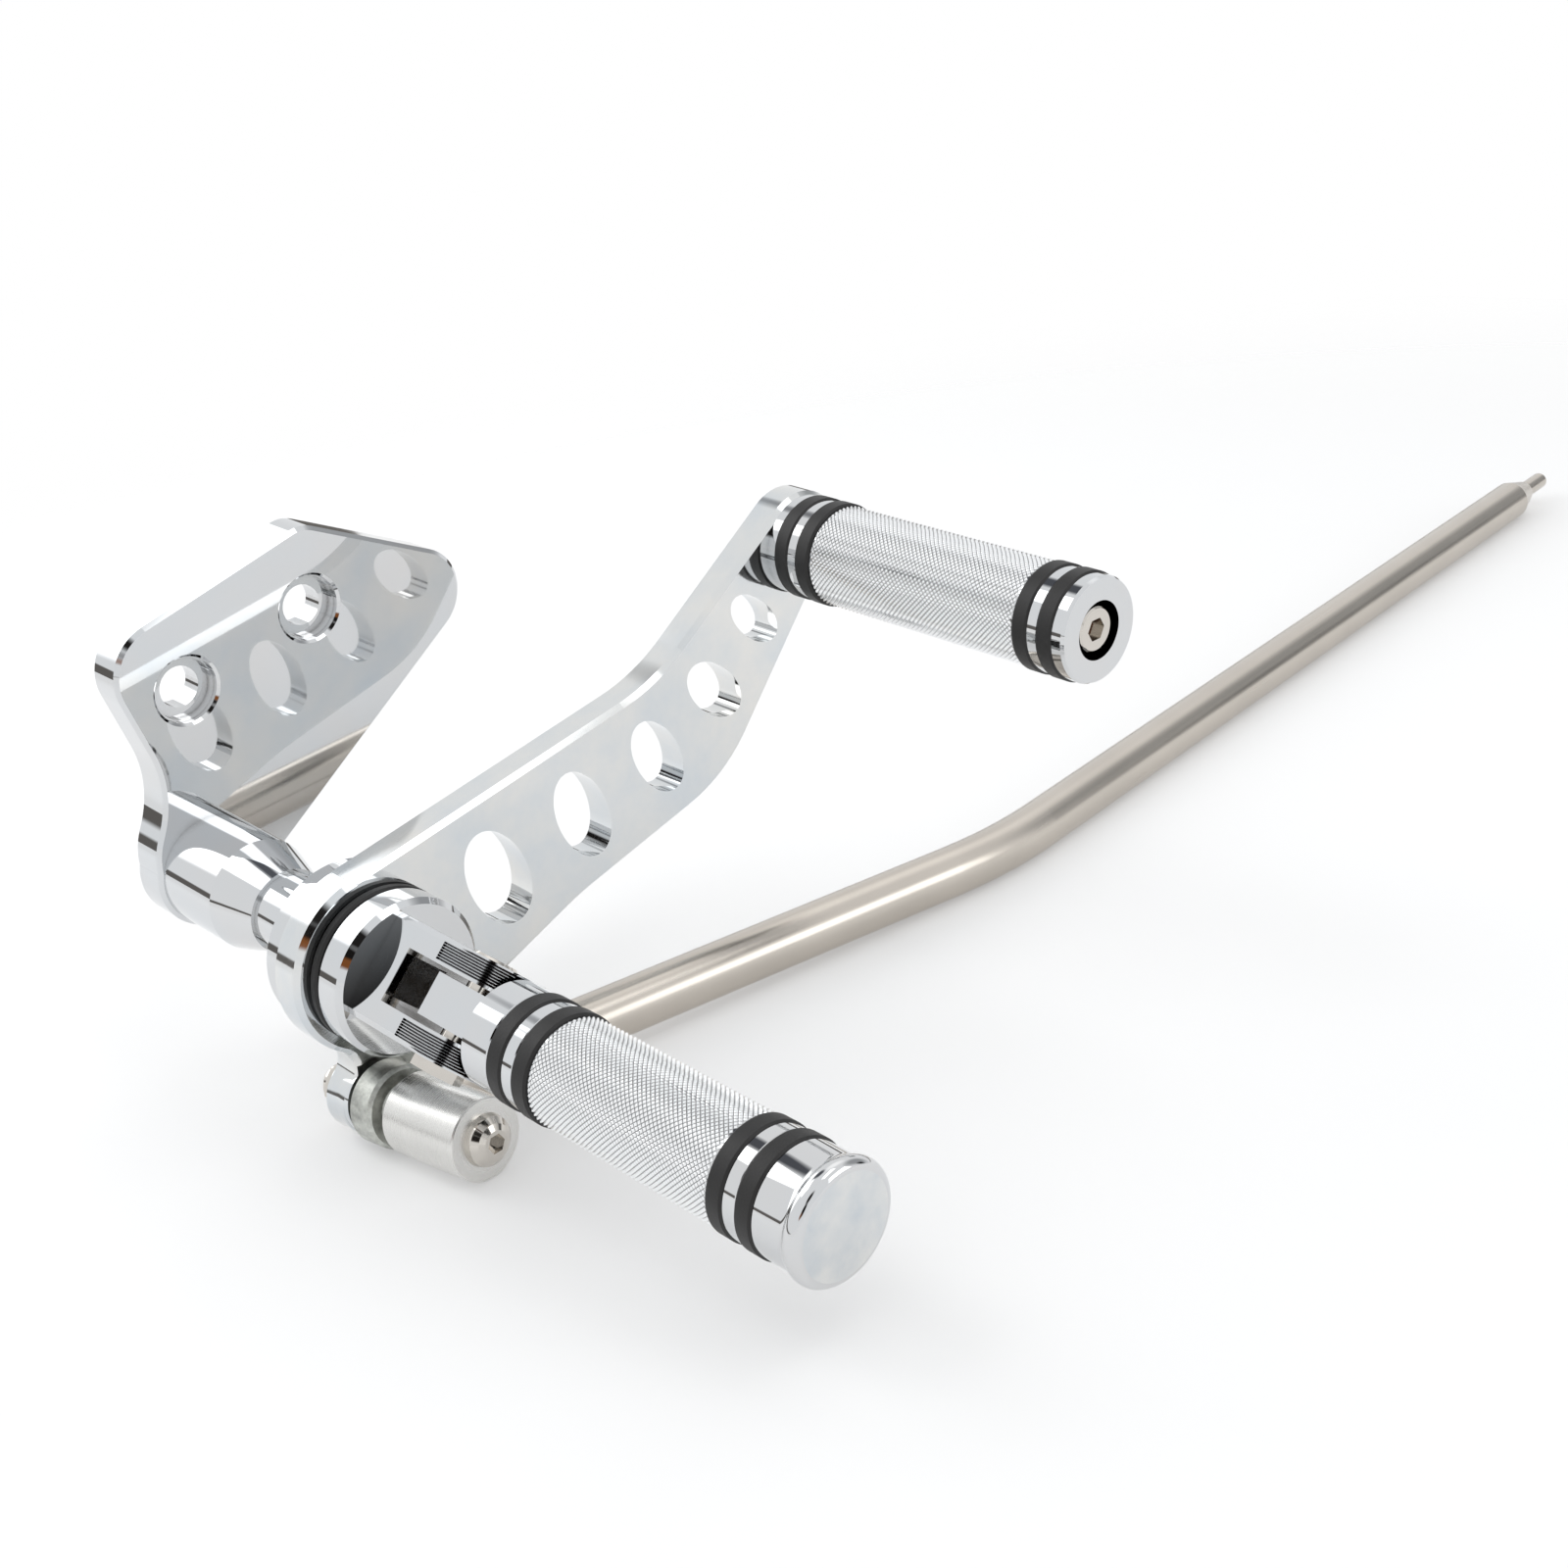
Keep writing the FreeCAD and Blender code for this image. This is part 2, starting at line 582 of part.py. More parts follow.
def foot_peg_body():
    """Peg body turned from one bar: ring grooves, grip and flared, domed end."""
    lengths = [FOOT_RING_IN, FOOT_RING_IN, FOOT_RING_OUT, FOOT_RING_OUT]
    rings = list(zip(foot_ring_starts(), lengths))
    start = rings[0][0]
    end = rings[-1][0] + FOOT_RING_OUT + FOOT_END
    lip = end + FOOT_LIP_LENGTH
    profile = [(start, PEG_STUD_R + RUN)] + grooved_profile(start, rings, end, PEG_R)
    profile += [
        (lip - 1.6, FOOT_LIP_R),
        (lip, FOOT_LIP_R - 0.5),
        (lip + FOOT_DOME * 0.6, FOOT_LIP_R * 0.7),
        (lip + FOOT_DOME, FOOT_LIP_R * 0.25),
        (lip + FOOT_DOME, 0),
        (start + PEG_STUD_LENGTH + 1, 0),
        (start + PEG_STUD_LENGTH + 1, PEG_STUD_R + RUN),
    ]
    return turned(profile)


def foot_rings():
    lengths = [FOOT_RING_IN, FOOT_RING_IN, FOOT_RING_OUT, FOOT_RING_OUT]
    return [rubber_ring(start, length, PEG_R - RING_WALL, PEG_R + RING_PROUD, RING_EDGE)
            for start, length in zip(foot_ring_starts(), lengths)]


def toe_ring_starts():
    """Where the four rubber rings of the toe peg begin."""
    first = LEVER_FRONT_OUT + TOE_FOOT_LAND
    second = first + TOE_RING + TOE_LAND
    third = second + TOE_RING + TOE_KNURL
    fourth = third + TOE_RING + TOE_LAND
    return [first, second, third, fourth]


def toe_peg_end():
    return toe_ring_starts()[-1] + TOE_RING + TOE_END


def toe_peg_body():
    """Peg body turned from one bar, bored for its screw and the screw's head."""
    rings = [(start, TOE_RING) for start in toe_ring_starts()]
    end = toe_peg_end()
    profile = [(LEVER_FRONT_OUT, TOE_SCREW_R + SCREW_GAP)]
    profile += grooved_profile(LEVER_FRONT_OUT, rings, end - 2 * PEG_EDGE, TOE_PEG_R)
    profile += [
        (end, TOE_PEG_R - PEG_EDGE),
        (end, TOE_BORE_R),
        (end - TOE_BORE_DEPTH, TOE_BORE_R),
        (end - TOE_BORE_DEPTH, TOE_SCREW_R + SCREW_GAP),
    ]
    return turned(profile, TOE_X, TOE_Z)


def toe_rings():
    return [rubber_ring(start, TOE_RING, TOE_PEG_R - RING_WALL, TOE_PEG_R + RING_PROUD,
                        RING_EDGE, TOE_X, TOE_Z) for start in toe_ring_starts()]


def toe_peg_screw():
    """Socket head cap screw down the middle of the toe peg into the lever."""
    seat = toe_peg_end() - TOE_BORE_DEPTH
    top = seat + TOE_HEAD_THICK
    body = turned([
        (LEVER_FRONT_OUT - TOE_SCREW_THREAD, 0),
        (LEVER_FRONT_OUT - TOE_SCREW_THREAD, TOE_SCREW_R),
        (seat, TOE_SCREW_R),
        (seat, TOE_HEAD_R),
        (top - PEG_EDGE, TOE_HEAD_R),
        (top, TOE_HEAD_R - PEG_EDGE),
        (top, 0),
    ])
    body = body.cut(hexagon(TOE_SOCKET_FLATS, top - TOE_SOCKET_DEPTH, TOE_SOCKET_DEPTH + 1))
    body.translate(Vector(TOE_X, 0, TOE_Z))
    return body


def link_stack():
    """Outward distances along the linkage bolt: eye middle, ball end, spacer end."""
    middle = BALL_THICK / 2
    return middle, BALL_THICK, BALL_THICK + SPACER_LENGTH


def tail_bolt():
    """Button head screw through spacer, ball and tail."""
    _, _, seat = link_stack()
    head = turned([
        (seat, 0),
        (seat, LINK_HEAD_R),
        (seat + LINK_HEAD_THICK * 0.45, LINK_HEAD_R * 0.93),
        (seat + LINK_HEAD_THICK * 0.8, LINK_HEAD_R * 0.72),
        (seat + LINK_HEAD_THICK, LINK_HEAD_R * 0.5),
        (seat + LINK_HEAD_THICK, 0),
    ])
    top = seat + LINK_HEAD_THICK
    head = head.cut(hexagon(LINK_SOCKET_FLATS, top - LINK_SOCKET_DEPTH, LINK_SOCKET_DEPTH + 1))
    shank_end = -LEVER_THICK - LINK_NUT_THICK
    shank = disc(0, 0, LINK_BOLT_R, seat, seat - shank_end)
    return on_bolt(head.fuse(shank).removeSplitter())


def tail_nut():
    """Domed nut on the back of the tail."""
    seat = -LEVER_THICK - RUN
    corner = LINK_NUT_FLATS / math.sqrt(3)
    dome_r = LINK_NUT_FLATS / 2 - 0.3
    top = seat - LINK_NUT_THICK
    body = hexagon(LINK_NUT_FLATS, top, LINK_NUT_THICK)
    body = body.common(turned([
        (seat, 0),
        (seat, corner - 0.7),
        (seat - 0.6, corner),
        (top + 0.9, corner),
        (top, corner - 1.0),
        (top, 0),
    ]))
    steps = 5
    dome = [(top + 0.5, 0), (top + 0.5, dome_r)]
    for i in range(steps + 1):
        angle = math.radians(90 * i / steps)
        dome.append((top - LINK_NUT_DOME * math.sin(angle), dome_r * math.cos(angle)))
    body = body.fuse(turned(dome[:-1] + [(top - LINK_NUT_DOME, 0)])).removeSplitter()
    return on_bolt(body.cut(disc(0, 0, LINK_BOLT_R + RUN, seat + 1, LINK_NUT_THICK + 2)))


def rod_end_ball():
    middle, _, _ = link_stack()
    ball = Part.makeSphere(BALL_R, Vector(0, -middle, 0))
    ball = ball.common(disc(0, 0, BALL_R + 1, BALL_THICK, BALL_THICK))
    return on_bolt(ball.cut(disc(0, 0, LINK_BOLT_R + RUN, BALL_THICK + 1, BALL_THICK + 2)))


def link_spacer():
    """Turned spacer between the ball and the bolt's head, with a thin nose on the ball."""
    _, start, end = link_stack()
    shoulder = start + SPACER_NOSE
    return on_bolt(turned([
        (start, LINK_BOLT_R + RUN),
        (start, SPACER_NOSE_R),
        (shoulder, SPACER_NOSE_R),
        (shoulder, SPACER_R - 0.5),
        (shoulder + 0.5, SPACER_R),
        (end - 0.4, SPACER_R),
        (end, SPACER_R - 0.4),
        (end, LINK_BOLT_R + RUN),
    ]))


def eye_centre():
    middle, _, _ = link_stack()
    return Vector(TAIL_X, -LEVER_FRONT_OUT, TAIL_Z) + BOLT_DIRECTION * middle


def rod_start_direction():
    return (ROD_BEND - eye_centre()).normalize()


def rod_end():
    """Swivel eye round the ball, with a shank that screws into the rod."""
    middle, _, _ = link_stack()
    back = middle - EYE_THICK / 2
    front = middle + EYE_THICK / 2
    eye = on_bolt(turned([
        (back, 0),
        (back, EYE_R - EYE_CHAMFER),
        (back + EYE_CHAMFER, EYE_R),
        (front - EYE_CHAMFER, EYE_R),
        (front, EYE_R - EYE_CHAMFER),
        (front, 0),
    ]))
    centre = eye_centre()
    way = rod_start_direction()
    root = centre + way * EYE_THICK
    neck = Part.makeCylinder(SHANK_NECK_R, ROD_START - EYE_THICK, root, way)
    shank = Part.makeCylinder(SHANK_R, ROD_START - EYE_THICK + SHANK_LENGTH, root, way)
    body = eye.fuse([neck, shank]).removeSplitter()
    body = body.cut(Part.makeSphere(BALL_R + RUN, centre))
    return body


def linkage_rod():
    """Round bar from the eye to the gearbox end, bent once, with a coned and pinned tip."""
    centre = eye_centre()
    way_in = rod_start_direction()
    way_out = (ROD_TIP - ROD_BEND).normalize()
    turn = way_in.getAngle(way_out)
    reach = ROD_BEND_R * math.tan(turn / 2)
    inward = (way_out - way_in).normalize()
    start = centre + way_in * ROD_START
    bend_in = ROD_BEND - way_in * reach
    bend_mid = ROD_BEND + inward * (ROD_BEND_R / math.cos(turn / 2) - ROD_BEND_R)
    bend_out = ROD_BEND + way_out * reach
    cone_start = ROD_TIP - way_out * (ROD_PIN_LENGTH + ROD_CONE_LENGTH)
    path = Part.Wire([
        Part.LineSegment(start, bend_in).toShape(),
        Part.Arc(bend_in, bend_mid, bend_out).toShape(),
        Part.LineSegment(bend_out, cone_start).toShape(),
    ])
    section = Part.Wire([Part.Circle(start, way_in, ROD_R).toShape()])
    bar = path.makePipeShell([section], True, False)
    cone = Part.makeCone(ROD_R, ROD_CONE_END_R, ROD_CONE_LENGTH, cone_start, way_out)
    pin = Part.makeCylinder(ROD_PIN_R, ROD_PIN_LENGTH, ROD_TIP - way_out * ROD_PIN_LENGTH, way_out)
    rim = [edge for edge in pin.Edges if (edge.CenterOfMass - ROD_TIP).Length < 1e-6]
    pin = pin.makeFillet(ROD_PIN_ROUND, rim)
    bore = Part.makeCylinder(SHANK_R + RUN, SHANK_LENGTH + 2, start - way_in, way_in)
    return bar.fuse([cone, pin]).removeSplitter().cut(bore)


def save(name, shape):
    """Moves a finished piece from the pivot axis to the frame bolts and writes it."""
    moved = shape.copy()
    moved.translate(Vector(-MOUNT_X, FRAME_FACE_OUT, -MOUNT_Z))
    moved.exportStep("parts/" + name + ".step")


os.makedirs("parts", exist_ok=True)
save("bracket_plate", bracket_plate())
save("pivot_bolt", pivot_bolt())
save("pivot_barrel", pivot_barrel())
save("hub_rubber_ring", hub_ring())
save("clevis_mount", clevis_mount())
save("clevis_pin", clevis_pin())
save("clevis_pin_nut", clevis_pin_nut())
save("peg_tongue", peg_tongue())
save("foot_peg_body", foot_peg_body())
for number, ring in enumerate(foot_rings(), 1):
    save("foot_rubber_ring_%d" % number, ring)
save("toe_lever", toe_lever())
save("toe_peg_body", toe_peg_body())
for number, ring in enumerate(toe_rings(), 1):
    save("toe_rubber_ring_%d" % number, ring)
save("toe_peg_screw", toe_peg_screw())
save("tail_bolt", tail_bolt())
save("tail_nut", tail_nut())
save("rod_end_ball", rod_end_ball())
save("rod_end", rod_end())
save("link_spacer", link_spacer())
save("linkage_rod", linkage_rod())
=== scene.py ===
import math

import bmesh
import bpy
from mathutils import Matrix, Vector


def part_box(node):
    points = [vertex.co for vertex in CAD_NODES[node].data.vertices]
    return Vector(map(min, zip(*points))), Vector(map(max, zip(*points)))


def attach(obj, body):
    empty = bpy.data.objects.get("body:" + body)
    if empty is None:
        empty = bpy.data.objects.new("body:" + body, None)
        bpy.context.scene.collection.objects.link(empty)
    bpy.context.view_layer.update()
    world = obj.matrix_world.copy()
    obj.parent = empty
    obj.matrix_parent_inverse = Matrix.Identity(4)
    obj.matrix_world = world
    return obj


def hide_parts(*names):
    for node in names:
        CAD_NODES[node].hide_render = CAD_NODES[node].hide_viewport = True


# Looks of a set of motorcycle forward controls: a chromed bracket and barrel, a pierced
# toe lever, a folding foot peg and a fixed toe peg with knurled grips, and a stainless
# linkage rod. Lengths are metres, and millimetres where a name ends in MM or mm.

bl_info = {
    "name": "Forward Controls Finish",
    "version": (1, 0, 0),
    "blender": (4, 5, 0),
    "location": "View3D > Sidebar > Forward Controls",
    "description": "Dresses motorcycle forward controls in their metal and rubber finishes",
    "category": "Material",
}

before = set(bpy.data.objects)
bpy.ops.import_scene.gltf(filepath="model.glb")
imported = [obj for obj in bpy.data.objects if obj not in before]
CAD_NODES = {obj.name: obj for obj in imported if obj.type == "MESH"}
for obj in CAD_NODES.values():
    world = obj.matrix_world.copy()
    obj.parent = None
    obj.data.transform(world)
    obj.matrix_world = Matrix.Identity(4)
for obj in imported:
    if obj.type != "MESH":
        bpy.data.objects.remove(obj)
MM = 0.001

BUFFED_NODES = ("toe_lever",)
PLATED_NODES = ("bracket_plate", "pivot_barrel", "clevis_mount", "peg_tongue", "toe_peg_body")
RING_NUMBERS = (1, 2, 3, 4)
RUBBER_NODES = ("hub_rubber_ring",) + tuple(
    f"{peg}_rubber_ring_{i}" for peg in ("foot", "toe") for i in RING_NUMBERS)
SCREW_NODES = ("pivot_bolt", "clevis_pin", "clevis_pin_nut", "toe_peg_screw", "tail_bolt",
               "tail_nut")

# Painted shade in deep pockets, a dark brown, and how far round a point another surface makes
# it a pocket
POCKET_SHADE = "#3B3226"
POCKET_MM = 12
# Slope of the wheel marks, which run along the toe lever
WHEEL_MARKS_TURN = math.radians(-22)
# Attribute with each knurl point's height, from 0 in the groove to 1 on a diamond's top, which
# the knurl's painted shade follows
KNURL_HEIGHT = "knurl_height"

# Points of the linkage in the model's frame, as the solids have them, and half of the
# stretch at its bend over which the rod's draw marks turn
EYE = Vector((-0.03136, -0.10534, -0.10301))
BOLT_DIRECTION = Vector((0.0641, -0.9913, 0.1147))
ROD_BEND = Vector((0.1886, -0.1365, -0.1032))
ROD_TIP = Vector((0.6286, -0.0795, -0.1092))
BEND_BLEND_MM = 10

# Pegs: how far a rubber ring stands out and how thick it is, how deep the grip's core lies
# under the lands beside it, and the plain strip at each end of the knurl
RING_PROUD_MM = 0.5
RING_WALL_MM = 3.0
GRIP_CORE_MM = 0.4
GRIP_END_MM = 0.2
# Foot peg's turned end: broken edges, the bead's rounding with its angles from the radius,
# how far the hollow lies behind the bead's middle as a share of that rounding, the hollow's
# points as rise over the grip and way along the peg, and the dome's height
EDGE_MM = 0.3
BEAD_PROUD_MM = 1.1
BEAD_ROUND_MM = 2.9
BEAD_ANGLES = range(-42, 85, 6)
HOLLOW_BEHIND_BEAD = 0.95
HOLLOW_MM = ((0.0, -0.7), (0.06, 0.0), (0.25, 0.5))
DOME_MM = 0.45
DOME_STEPS = 12
PEG_STEPS = 144
SHARP_EDGE = math.radians(25)
# Points nearer than this are one point, on the turned foot peg and on the knurl
SAME_SPOT_MM = 0.001
KNURL_SAME_SPOT_MM = 0.01

# The camera as solved from the photograph
CAMERA_AT = Vector((-0.30849, -0.58360, 0.24886))
CAMERA_RIGHT = Vector((0.7191, -0.69186, -0.065))
CAMERA_UP = Vector((0.34502, 0.27427, 0.89763))
SENSOR_MM = 36.0
SEEN_FROM = 0.02
SEEN_TO = 60.0

# The table the part lies on, and its paper: it shows a share of the room behind it, and
# fades out between two distances from the middle
TABLE_NORMAL = Vector((0.0, 0.111, 0.994)).normalized()
TABLE_HEIGHT = -0.12607
TABLE_MIDDLE = Vector((0.17, -0.10, -0.11))
TABLE_HALF = 1.2
PAPER_GREY = 0.672
PAPER_SHOWS_THROUGH = 0.27
PAPER_WHOLE_TO = 0.5
PAPER_GONE_AT = 0.95

# The pale studio as the chrome shows it. The room under the table turns to wall between two
# heights of a unit direction. Then the things that are darker or brighter than the wall:
# angle round the Y axis from +X over the top, angle towards +Y, half size and softness, all
# in degrees, and colour
STUDIO_WALL = "#DDDEDF"
BELOW_TABLE = "#5E5B58"
WALL_STARTS = (-0.035, -0.012)
STUDIO_SPOTS = (
    ("gap beside the top box", 81, 24, 8.0, 3.0, "#54565B"),
    ("gap below the back box", 81, 36, 9.0, 3.0, "#4C4E53"),
    ("camera", 144, -42, 10.0, 2.5, "#191716"),
    ("camera stand", 121, -37, 10.0, 3.5, "#211F1E"),
    ("brown case", 155, -36, 5.0, 2.0, "#7A4A28"),
    ("wooden rail", -55, -66, 6.0, 3.0, "#6E5E4A"),
    ("lit ceiling", 58, 12, 13.0, 7.0, "#FFFFFF"),
    ("dim end of the room", 23, -15, 17.0, 7.0, "#949698"),
    ("gap past the table", 10, -24, 5.0, 3.0, "#161617"),
)
# Soft boxes: name, the two angles as above, distance, width and height in metres, radiance
SOFT_BOXES = (
    ("back_soft_box", 112, 65, 1.2, 1.00, 0.90, 1.45),
    ("top_soft_box", 113, 29, 1.2, 0.58, 0.50, 1.9),
    ("front_soft_box", 40, -57, 1.2, 0.62, 0.50, 1.6),
    ("front_top_soft_box", 78, -24, 1.2, 0.55, 0.36, 1.5),
)
BOXES_FACE = Vector((0.05, -0.12, -0.05))
# Share of a soft box's width and height over which its front fades at each edge
BOX_FADE = 0.1


def linear(text):
    """Linear colour with alpha from an sRGB hex value such as #C8CCD0."""
    values = [int(text[i:i + 2], 16) / 255 for i in (1, 3, 5)]
    return tuple(v / 12.92 if v <= 0.04045 else ((v + 0.055) / 1.055) ** 2.4
                 for v in values) + (1.0,)


def opaque(colour):
    """A setting's colour with an alpha of 1."""
    return tuple(colour) + (1.0,)


def colour_setting(name, text, description):
    return bpy.props.FloatVectorProperty(
        name=name, description=description, default=linear(text)[:3], min=0, max=1,
        size=3, subtype="COLOR")


def length_setting(name, size_mm, description):
    return bpy.props.FloatProperty(
        name=name, description=description, default=size_mm * MM, min=0, unit="LENGTH")


class FinishSettings(bpy.types.PropertyGroup):
    chrome: colour_setting("Chrome", "#D3D4D5", "Chrome of the bracket, clevis and pegs")
    knurled: colour_setting("Knurled chrome", "#F4F5F6", "Chrome over the knurl")
    buffed: colour_setting("Buffed chrome", "#DADBDB", "Chrome of the toe lever and the dome")
    rubber: colour_setting("Rubber", "#151414", "Rubber of the rings")
    rod: colour_setting("Rod", "#C8C1B8", "Drawn stainless bar of the linkage rod")
    screws: colour_setting("Screws", "#D2CDC6", "Bright stainless screws and nuts")
    zinc: colour_setting("Zinc", "#C6C8C2", "Dull zinc plate of the swivel eye")
    aluminium: colour_setting("Aluminium", "#E0DFDC", "Turned aluminium of the spacer")


class KnurlSettings(bpy.types.PropertyGroup):
    pitch: length_setting("Pitch", 1.6, "Distance between diamonds along the grip")
    around: bpy.props.IntProperty(
        name="Diamonds around", description="Number of diamonds in one row round the grip",
        default=58, min=12)
    depth: length_setting("Depth", 0.42, "Height of a diamond above its groove")
    flat: bpy.props.FloatProperty(
        name="Worn top", description="Width of a diamond's flat top as a share of its foot",
        default=0.12, min=0, max=0.9, subtype="FACTOR")


class StageSettings(bpy.types.PropertyGroup):
    lens: bpy.props.FloatProperty(
        name="Lens", description="Focal length on a 36 mm wide sensor", default=52.71,
        min=10, subtype="DISTANCE_CAMERA")
    room: bpy.props.FloatProperty(
        name="Room light", description="Strength of the light from the white room",
        default=1.33, min=0)
    boxes: bpy.props.FloatProperty(
        name="Soft boxes", description="Share of the soft boxes' own brightness",
        default=1.0, min=0)


# Sockets of a Mix node, by number because each of its data types has an A and a B
COLOUR_A, COLOUR_B, COLOUR_OUT = 6, 7, 2
VALUE_A, VALUE_B, VALUE_OUT = 2, 3, 0


def node(tree, kind, inputs=None, **settings):
    """Adds a node, sets its properties, and fills its inputs with values or with sockets."""
    made = tree.nodes.new(kind)
    for name, value in settings.items():
        setattr(made, name, value)
    for name, value in (inputs or {}).items():
        if isinstance(value, bpy.types.NodeSocket):
            tree.links.new(value, made.inputs[name])
        else:
            made.inputs[name].default_value = value
    return made


def new_surface(name, metallic):
    """Empty material with a Principled shader and the piece's own coordinates."""
    material = bpy.data.materials.new(name)
    material.use_nodes = True
    tree = material.node_tree
    tree.nodes.clear()
    shader = node(tree, "ShaderNodeBsdfPrincipled", {"Metallic": metallic})
    node(tree, "ShaderNodeOutputMaterial", {"Surface": shader.outputs["BSDF"]})
    place = node(tree, "ShaderNodeTexCoord").outputs["Object"]
    return material, tree, shader, place


def finish_surface(tree, shader, tint, roughness, relief=None):
    """Lets a surface's patterns drive its shader: the first runs the colour from one tint
    to another, the second the roughness between two values, and the third, where there is
    one, raises the surface with a strength and by a height in mm."""
    amount, first, second = tint
    mix = node(tree, "ShaderNodeMix", {
        "Factor": amount, COLOUR_A: first, COLOUR_B: second}, data_type="RGBA")
    tree.links.new(mix.outputs[COLOUR_OUT], shader.inputs["Base Color"])
    amount, low, high = roughness
    blur = node(tree, "ShaderNodeMapRange", {"Value": amount, "To Min": low, "To Max": high})
    tree.links.new(blur.outputs["Result"], shader.inputs["Roughness"])
    if relief:
        height, strength, rise_mm = relief
        bump = node(tree, "ShaderNodeBump", {
            "Height": height, "Strength": strength, "Distance": rise_mm * MM})
        tree.links.new(bump.outputs["Normal"], shader.inputs["Normal"])


def shade(colour, factor):
    """The same colour, lighter or darker."""
    return tuple(min(1.0, c * factor) for c in colour[:3]) + (1.0,)


def cast(colour, red, blue):
    """The same colour, warmer or cooler, with its red and its blue changed by a factor."""
    return (min(1.0, colour[0] * red), colour[1], min(1.0, colour[2] * blue), 1.0)


def per_metre(size_mm):
    """Texture scale at which one feature of a noise is about size_mm across."""
    return 1 / (size_mm * MM)


def mirror_chrome(colour):
    """Bright decorative chrome over polished steel: a near mirror whose tint drifts between
    cool and warm, with the slow waviness of hand polishing and a thin haze of wipe marks.
    Deep pockets, which other surfaces close in, get painted shade that runs the colour down to
    a dark brown."""
    material, tree, shader, place = new_surface("mirror_chrome", 1.0)
    drift = node(tree, "ShaderNodeTexNoise", {
        "Vector": place, "Scale": per_metre(38), "Detail": 3.0,
        "Roughness": 0.6}).outputs["Fac"]
    haze = node(tree, "ShaderNodeTexNoise", {
        "Vector": place, "Scale": per_metre(14), "Detail": 5.0,
        "Roughness": 0.6}).outputs["Fac"]
    wave = node(tree, "ShaderNodeTexNoise", {
        "Vector": place, "Scale": per_metre(22), "Detail": 1.0}).outputs["Fac"]
    plated = node(tree, "ShaderNodeMix", {
        "Factor": drift, COLOUR_A: cast(colour, 0.95, 1.04),
        COLOUR_B: cast(colour, 1.04, 0.97)}, data_type="RGBA").outputs[COLOUR_OUT]
    # Painted shade: where other surfaces close a point in, its colour runs to dark brown
    open_air = node(tree, "ShaderNodeAmbientOcclusion", {"Distance": POCKET_MM * MM},
                    samples=6).outputs["AO"]
    unshaded = node(tree, "ShaderNodeMapRange", {
        "Value": open_air, "From Min": 0.22, "From Max": 0.5}).outputs["Result"]
    finish_surface(tree, shader, (unshaded, linear(POCKET_SHADE), plated), (haze, 0.0, 0.06),
                   (wave, 0.4, 0.01))
    return material


def buffed_chrome(name, colour, blur, clouds_mm, depth):
    """Chrome over metal that was buffed on a soft wheel: mirror bright at a distance, with
    cloudy haze that drifts between bluish and yellowish, and long faint wheel marks. Depth
    is how much the clouds darken and lighten."""
    material, tree, shader, place = new_surface(name, 1.0)
    cloud = node(tree, "ShaderNodeTexNoise", {
        "Vector": place, "Scale": per_metre(clouds_mm), "Detail": 5.0,
        "Roughness": 0.6}).outputs["Fac"]
    shift = node(tree, "ShaderNodeMapRange", {
        "Value": cloud, "From Min": 0.3, "From Max": 0.7}).outputs["Result"]
    along = node(tree, "ShaderNodeMapping", {
        "Vector": place, "Rotation": (0, WHEEL_MARKS_TURN, 0),
        "Scale": (per_metre(80), per_metre(3.3), per_metre(3.3))}).outputs["Vector"]
    marks = node(tree, "ShaderNodeTexNoise", {
        "Vector": along, "Scale": 1.0, "Detail": 6.0, "Roughness": 0.7}).outputs["Fac"]
    dark = cast(shade(colour, 1 - depth), 0.95, 1.05)
    light = cast(shade(colour, 1 + depth), 1.03, 0.96)
    finish_surface(tree, shader, (shift, dark, light), (marks, blur * 0.4, blur * 1.6),
                   (cloud, 0.4, 0.02))
    return material


def knurled_chrome(colour):
    """Chrome over a rolled diamond knurl: worn tops in the plain colour, and grooves darkened
    by painted shade."""
    material, tree, shader, place = new_surface("knurled_chrome", 1.0)
    grain = node(tree, "ShaderNodeTexNoise", {
        "Vector": place, "Scale": per_metre(1.1), "Detail": 3.0}).outputs["Fac"]
    height = node(tree, "ShaderNodeAttribute", attribute_name=KNURL_HEIGHT).outputs["Fac"]
    # Painted shade: the colour darkens from a diamond's top down into the grooves
    unshaded = node(tree, "ShaderNodeMapRange", {
        "Value": height, "From Min": 0.03, "From Max": 0.3}).outputs["Result"]
    finish_surface(tree, shader, (unshaded, shade(colour, 0.2), colour), (grain, 0.06, 0.2))
    return material


def moulded_rubber(colour):
    """Moulded nitrile rubber: nearly black, matt, with a fine moulded grain and patches of
    grey bloom."""
    material, tree, shader, place = new_surface("moulded_rubber", 0.0)
    grain = node(tree, "ShaderNodeTexNoise", {
        "Vector": place, "Scale": per_metre(0.7), "Detail": 3.0}).outputs["Fac"]
    bloom = node(tree, "ShaderNodeTexNoise", {
        "Vector": place, "Scale": per_metre(6), "Detail": 4.0}).outputs["Fac"]
    finish_surface(tree, shader, (bloom, shade(colour, 0.75), shade(colour, 1.35)),
                   (bloom, 0.42, 0.62), (grain, 0.4, 0.1))
    return material


